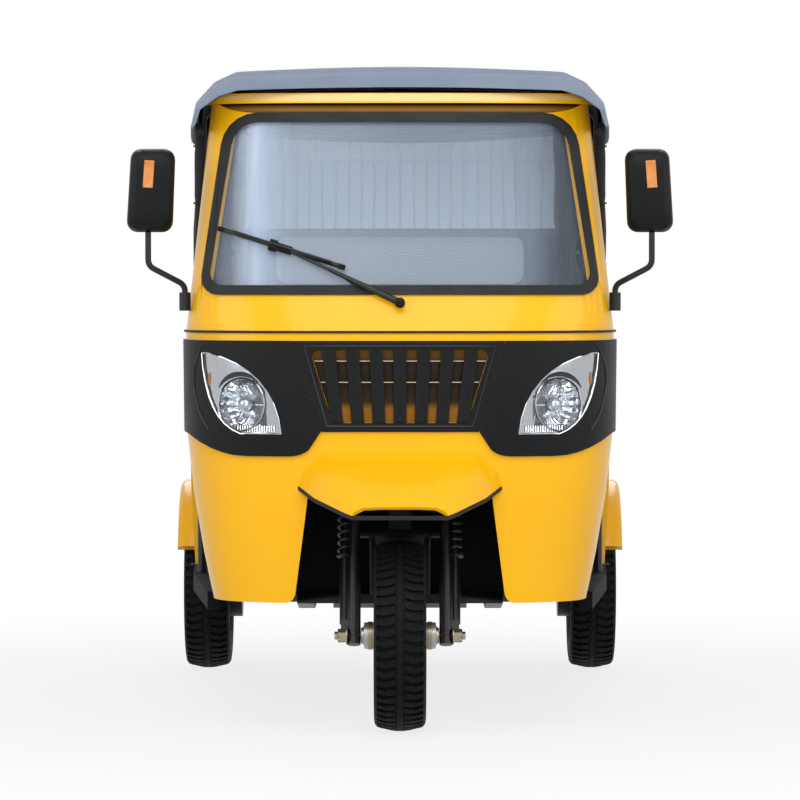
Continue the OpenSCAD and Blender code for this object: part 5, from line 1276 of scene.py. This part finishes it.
def arched(u, v):
    y = mix(arch["start"], arch["end"], v)
    rise = arch["radius"] ** 2 - (y - arch["axle"][0]) ** 2
    return Vector((mix(*arch["x"], u), y, max(arch["floor"], arch["axle"][1] + math.sqrt(max(0, rise)))))


for name, rule, rows in (("benchApronLeft", apron, 30), ("wheelArchLeft", arched, 90)):
    settlePair(laidOut(name, 6, rows, rule, lapThick), undersealed)
print("mats, aprons and arches laid")

# engine: cooling fins round the block and a flywheel cover on its rear face
cooling = {"block": (0, 0.89, 0), "size": (0.406, 0.496, 0.004), "edge": 0.0015, "fins": between(0.345, 0.565, 12),
           "fan": (0.05, 1.130, 0.430), "radius": 0.105}
fin = roundedBox("engineFin", cooling["size"], cooling["block"], cooling["edge"], 2)
settle(repeated(fin, "engineFins", [Matrix.Translation((0, 0, z)) for z in cooling["fins"]]), castMetal)
r = cooling["radius"]
cover = lathe("flywheelCover", [(0, -0.002), (r, -0.002), (r, 0.012), (r - 0.006, 0.018), (r * 0.55, 0.022),
                                (r * 0.5, 0.017), (r * 0.2, 0.017), (r * 0.16, 0.026), (0, 0.027)], 48,
              facingWay(cooling["fan"], toRear))
smooth(cover, 35)
settle(cover, blackSteel, slot="cast_metal")

# rear wheels: five nuts on the disc and a pressed cap on the hub
wheelNut = {"axle": (0.94, 0.245), "disc": 0.573, "hub": 0.600, "circle": 0.055, "count": 5, "flat": 0.0092}
y, z = wheelNut["axle"]
r = wheelNut["flat"]
nut = lathe("wheelNut", [(0, -0.001), (r, -0.001), (r, 0.009), (r - 0.0015, 0.011), (0.005, 0.011), (0.005, 0.016),
                         (0, 0.017)], 6)
turns = [2 * math.pi * i / wheelNut["count"] for i in range(wheelNut["count"])]
moves = [facingWay((wheelNut["disc"], y + wheelNut["circle"] * math.sin(turn),
                    z + wheelNut["circle"] * math.cos(turn)), (1, 0, 0)) for turn in turns]
dust = lathe("hubCapLeft", [(0, -0.001), (0.026, -0.001), (0.028, 0.003), (0.024, 0.010), (0.012, 0.014),
                            (0, 0.015)], 32, facingWay((wheelNut["hub"], y, z), (1, 0, 0)))
for piece, material in ((repeated(nut, "wheelNutsLeft", moves), zincPlate), (dust, wheelSilver)):
    smooth(piece, 35)
    settlePair(piece, material, ("rear_wheel_left", "rear_wheel_right"))

# studs that hold the rear canvas to the tub
studs = {"z": 1.030, "sides": between(0.46, 1.06, 6), "back": between(-0.42, 0.42, 7)}
stud = lathe("canvasStud", [(0, -0.002), (0.0075, -0.002), (0.0080, 0.001), (0.0050, 0.004), (0, 0.005)], 16)
smooth(stud, 40)
onDrop = surfaceOf(drop)
casts = [((side * outside, y, studs["z"]), (-side, 0, 0)) for side in (1, -1) for y in studs["sides"]]
casts += [((x, outside, studs["z"]), toFront) for x in studs["back"]]
moves = [facingWay(onDrop(start, way), [-c for c in way]) for start, way in casts]
settle(repeated(stud, "canvasStuds", moves), chrome)
print("wheel nuts and canvas studs set:", len(turns), len(moves))

# handlebar grips: ribbed rubber sleeves with a flange at the inner end
grip = {"tip": (0.335, 0.070, 0.8456), "root": (0.1675, 0.021, 0.838), "length": 0.112, "radius": 0.0176,
        "rib": 0.0010, "ribs": 22, "ribEnd": 0.106, "flange": 0.0225}
ridges = [(grip["radius"] + grip["rib"] * (i % 2), grip["ribEnd"] * i / grip["ribs"])
          for i in range(grip["ribs"] + 1)]
length, flange = grip["length"], grip["flange"]
sleeve = lathe("gripLeft", [(0, -0.003), (0.014, -0.003), *ridges, (flange, length - 0.004), (flange, length),
                            (0.013, length + 0.001), (0, length + 0.001)], 28,
               steer @ facingWay(grip["tip"], Vector(grip["root"]) - Vector(grip["tip"])))
smooth(sleeve, 40)
settlePair(sleeve, rubber, ("steering", "steering"))

# gauge on the dashboard: bright ring, black dial with pale marks and a needle
gauge = {"place": (0, -0.952, 1.054), "ring": 0.042, "marks": 11, "sweep": 260, "pointer": -70}
dialPlace = facingWay(gauge["place"], toRear)
r = gauge["ring"]
ring = lathe("gaugeRing", [(r - 0.005, -0.001), (r, -0.001), (r + 0.001, 0.004), (r - 0.002, 0.010),
                           (r - 0.005, 0.009)], 40, dialPlace)
dial = lathe("gaugeDial", [(0, -0.001), (r - 0.004, -0.001), (r - 0.004, 0.003), (0.006, 0.0035), (0.005, 0.006),
                           (0, 0.0065)], 40, dialPlace)
mark = roundedBox("gaugeMark", (0.0016, 0.007, 0.0010), (0, r - 0.011, 0.0036), 0.0003, 1)
moves = [dialPlace @ turned(turn, "Z") for turn in between(-gauge["sweep"] / 2, gauge["sweep"] / 2, gauge["marks"])]
needle = roundedBox("gaugeNeedle", (0.0022, 0.028, 0.0012), (0, 0.011, 0.0052), 0.0005, 2,
                    dialPlace @ turned(gauge["pointer"], "Z"))
for piece, material in ((ring, chrome), (dial, blackPlastic), (repeated(mark, "gaugeMarks", moves), paleMarksAndHighlight),
                        (needle, redLens)):
    smooth(piece, 35)
    settle(piece, material)
print("grips and gauge fitted")

bpy.context.view_layer.update()
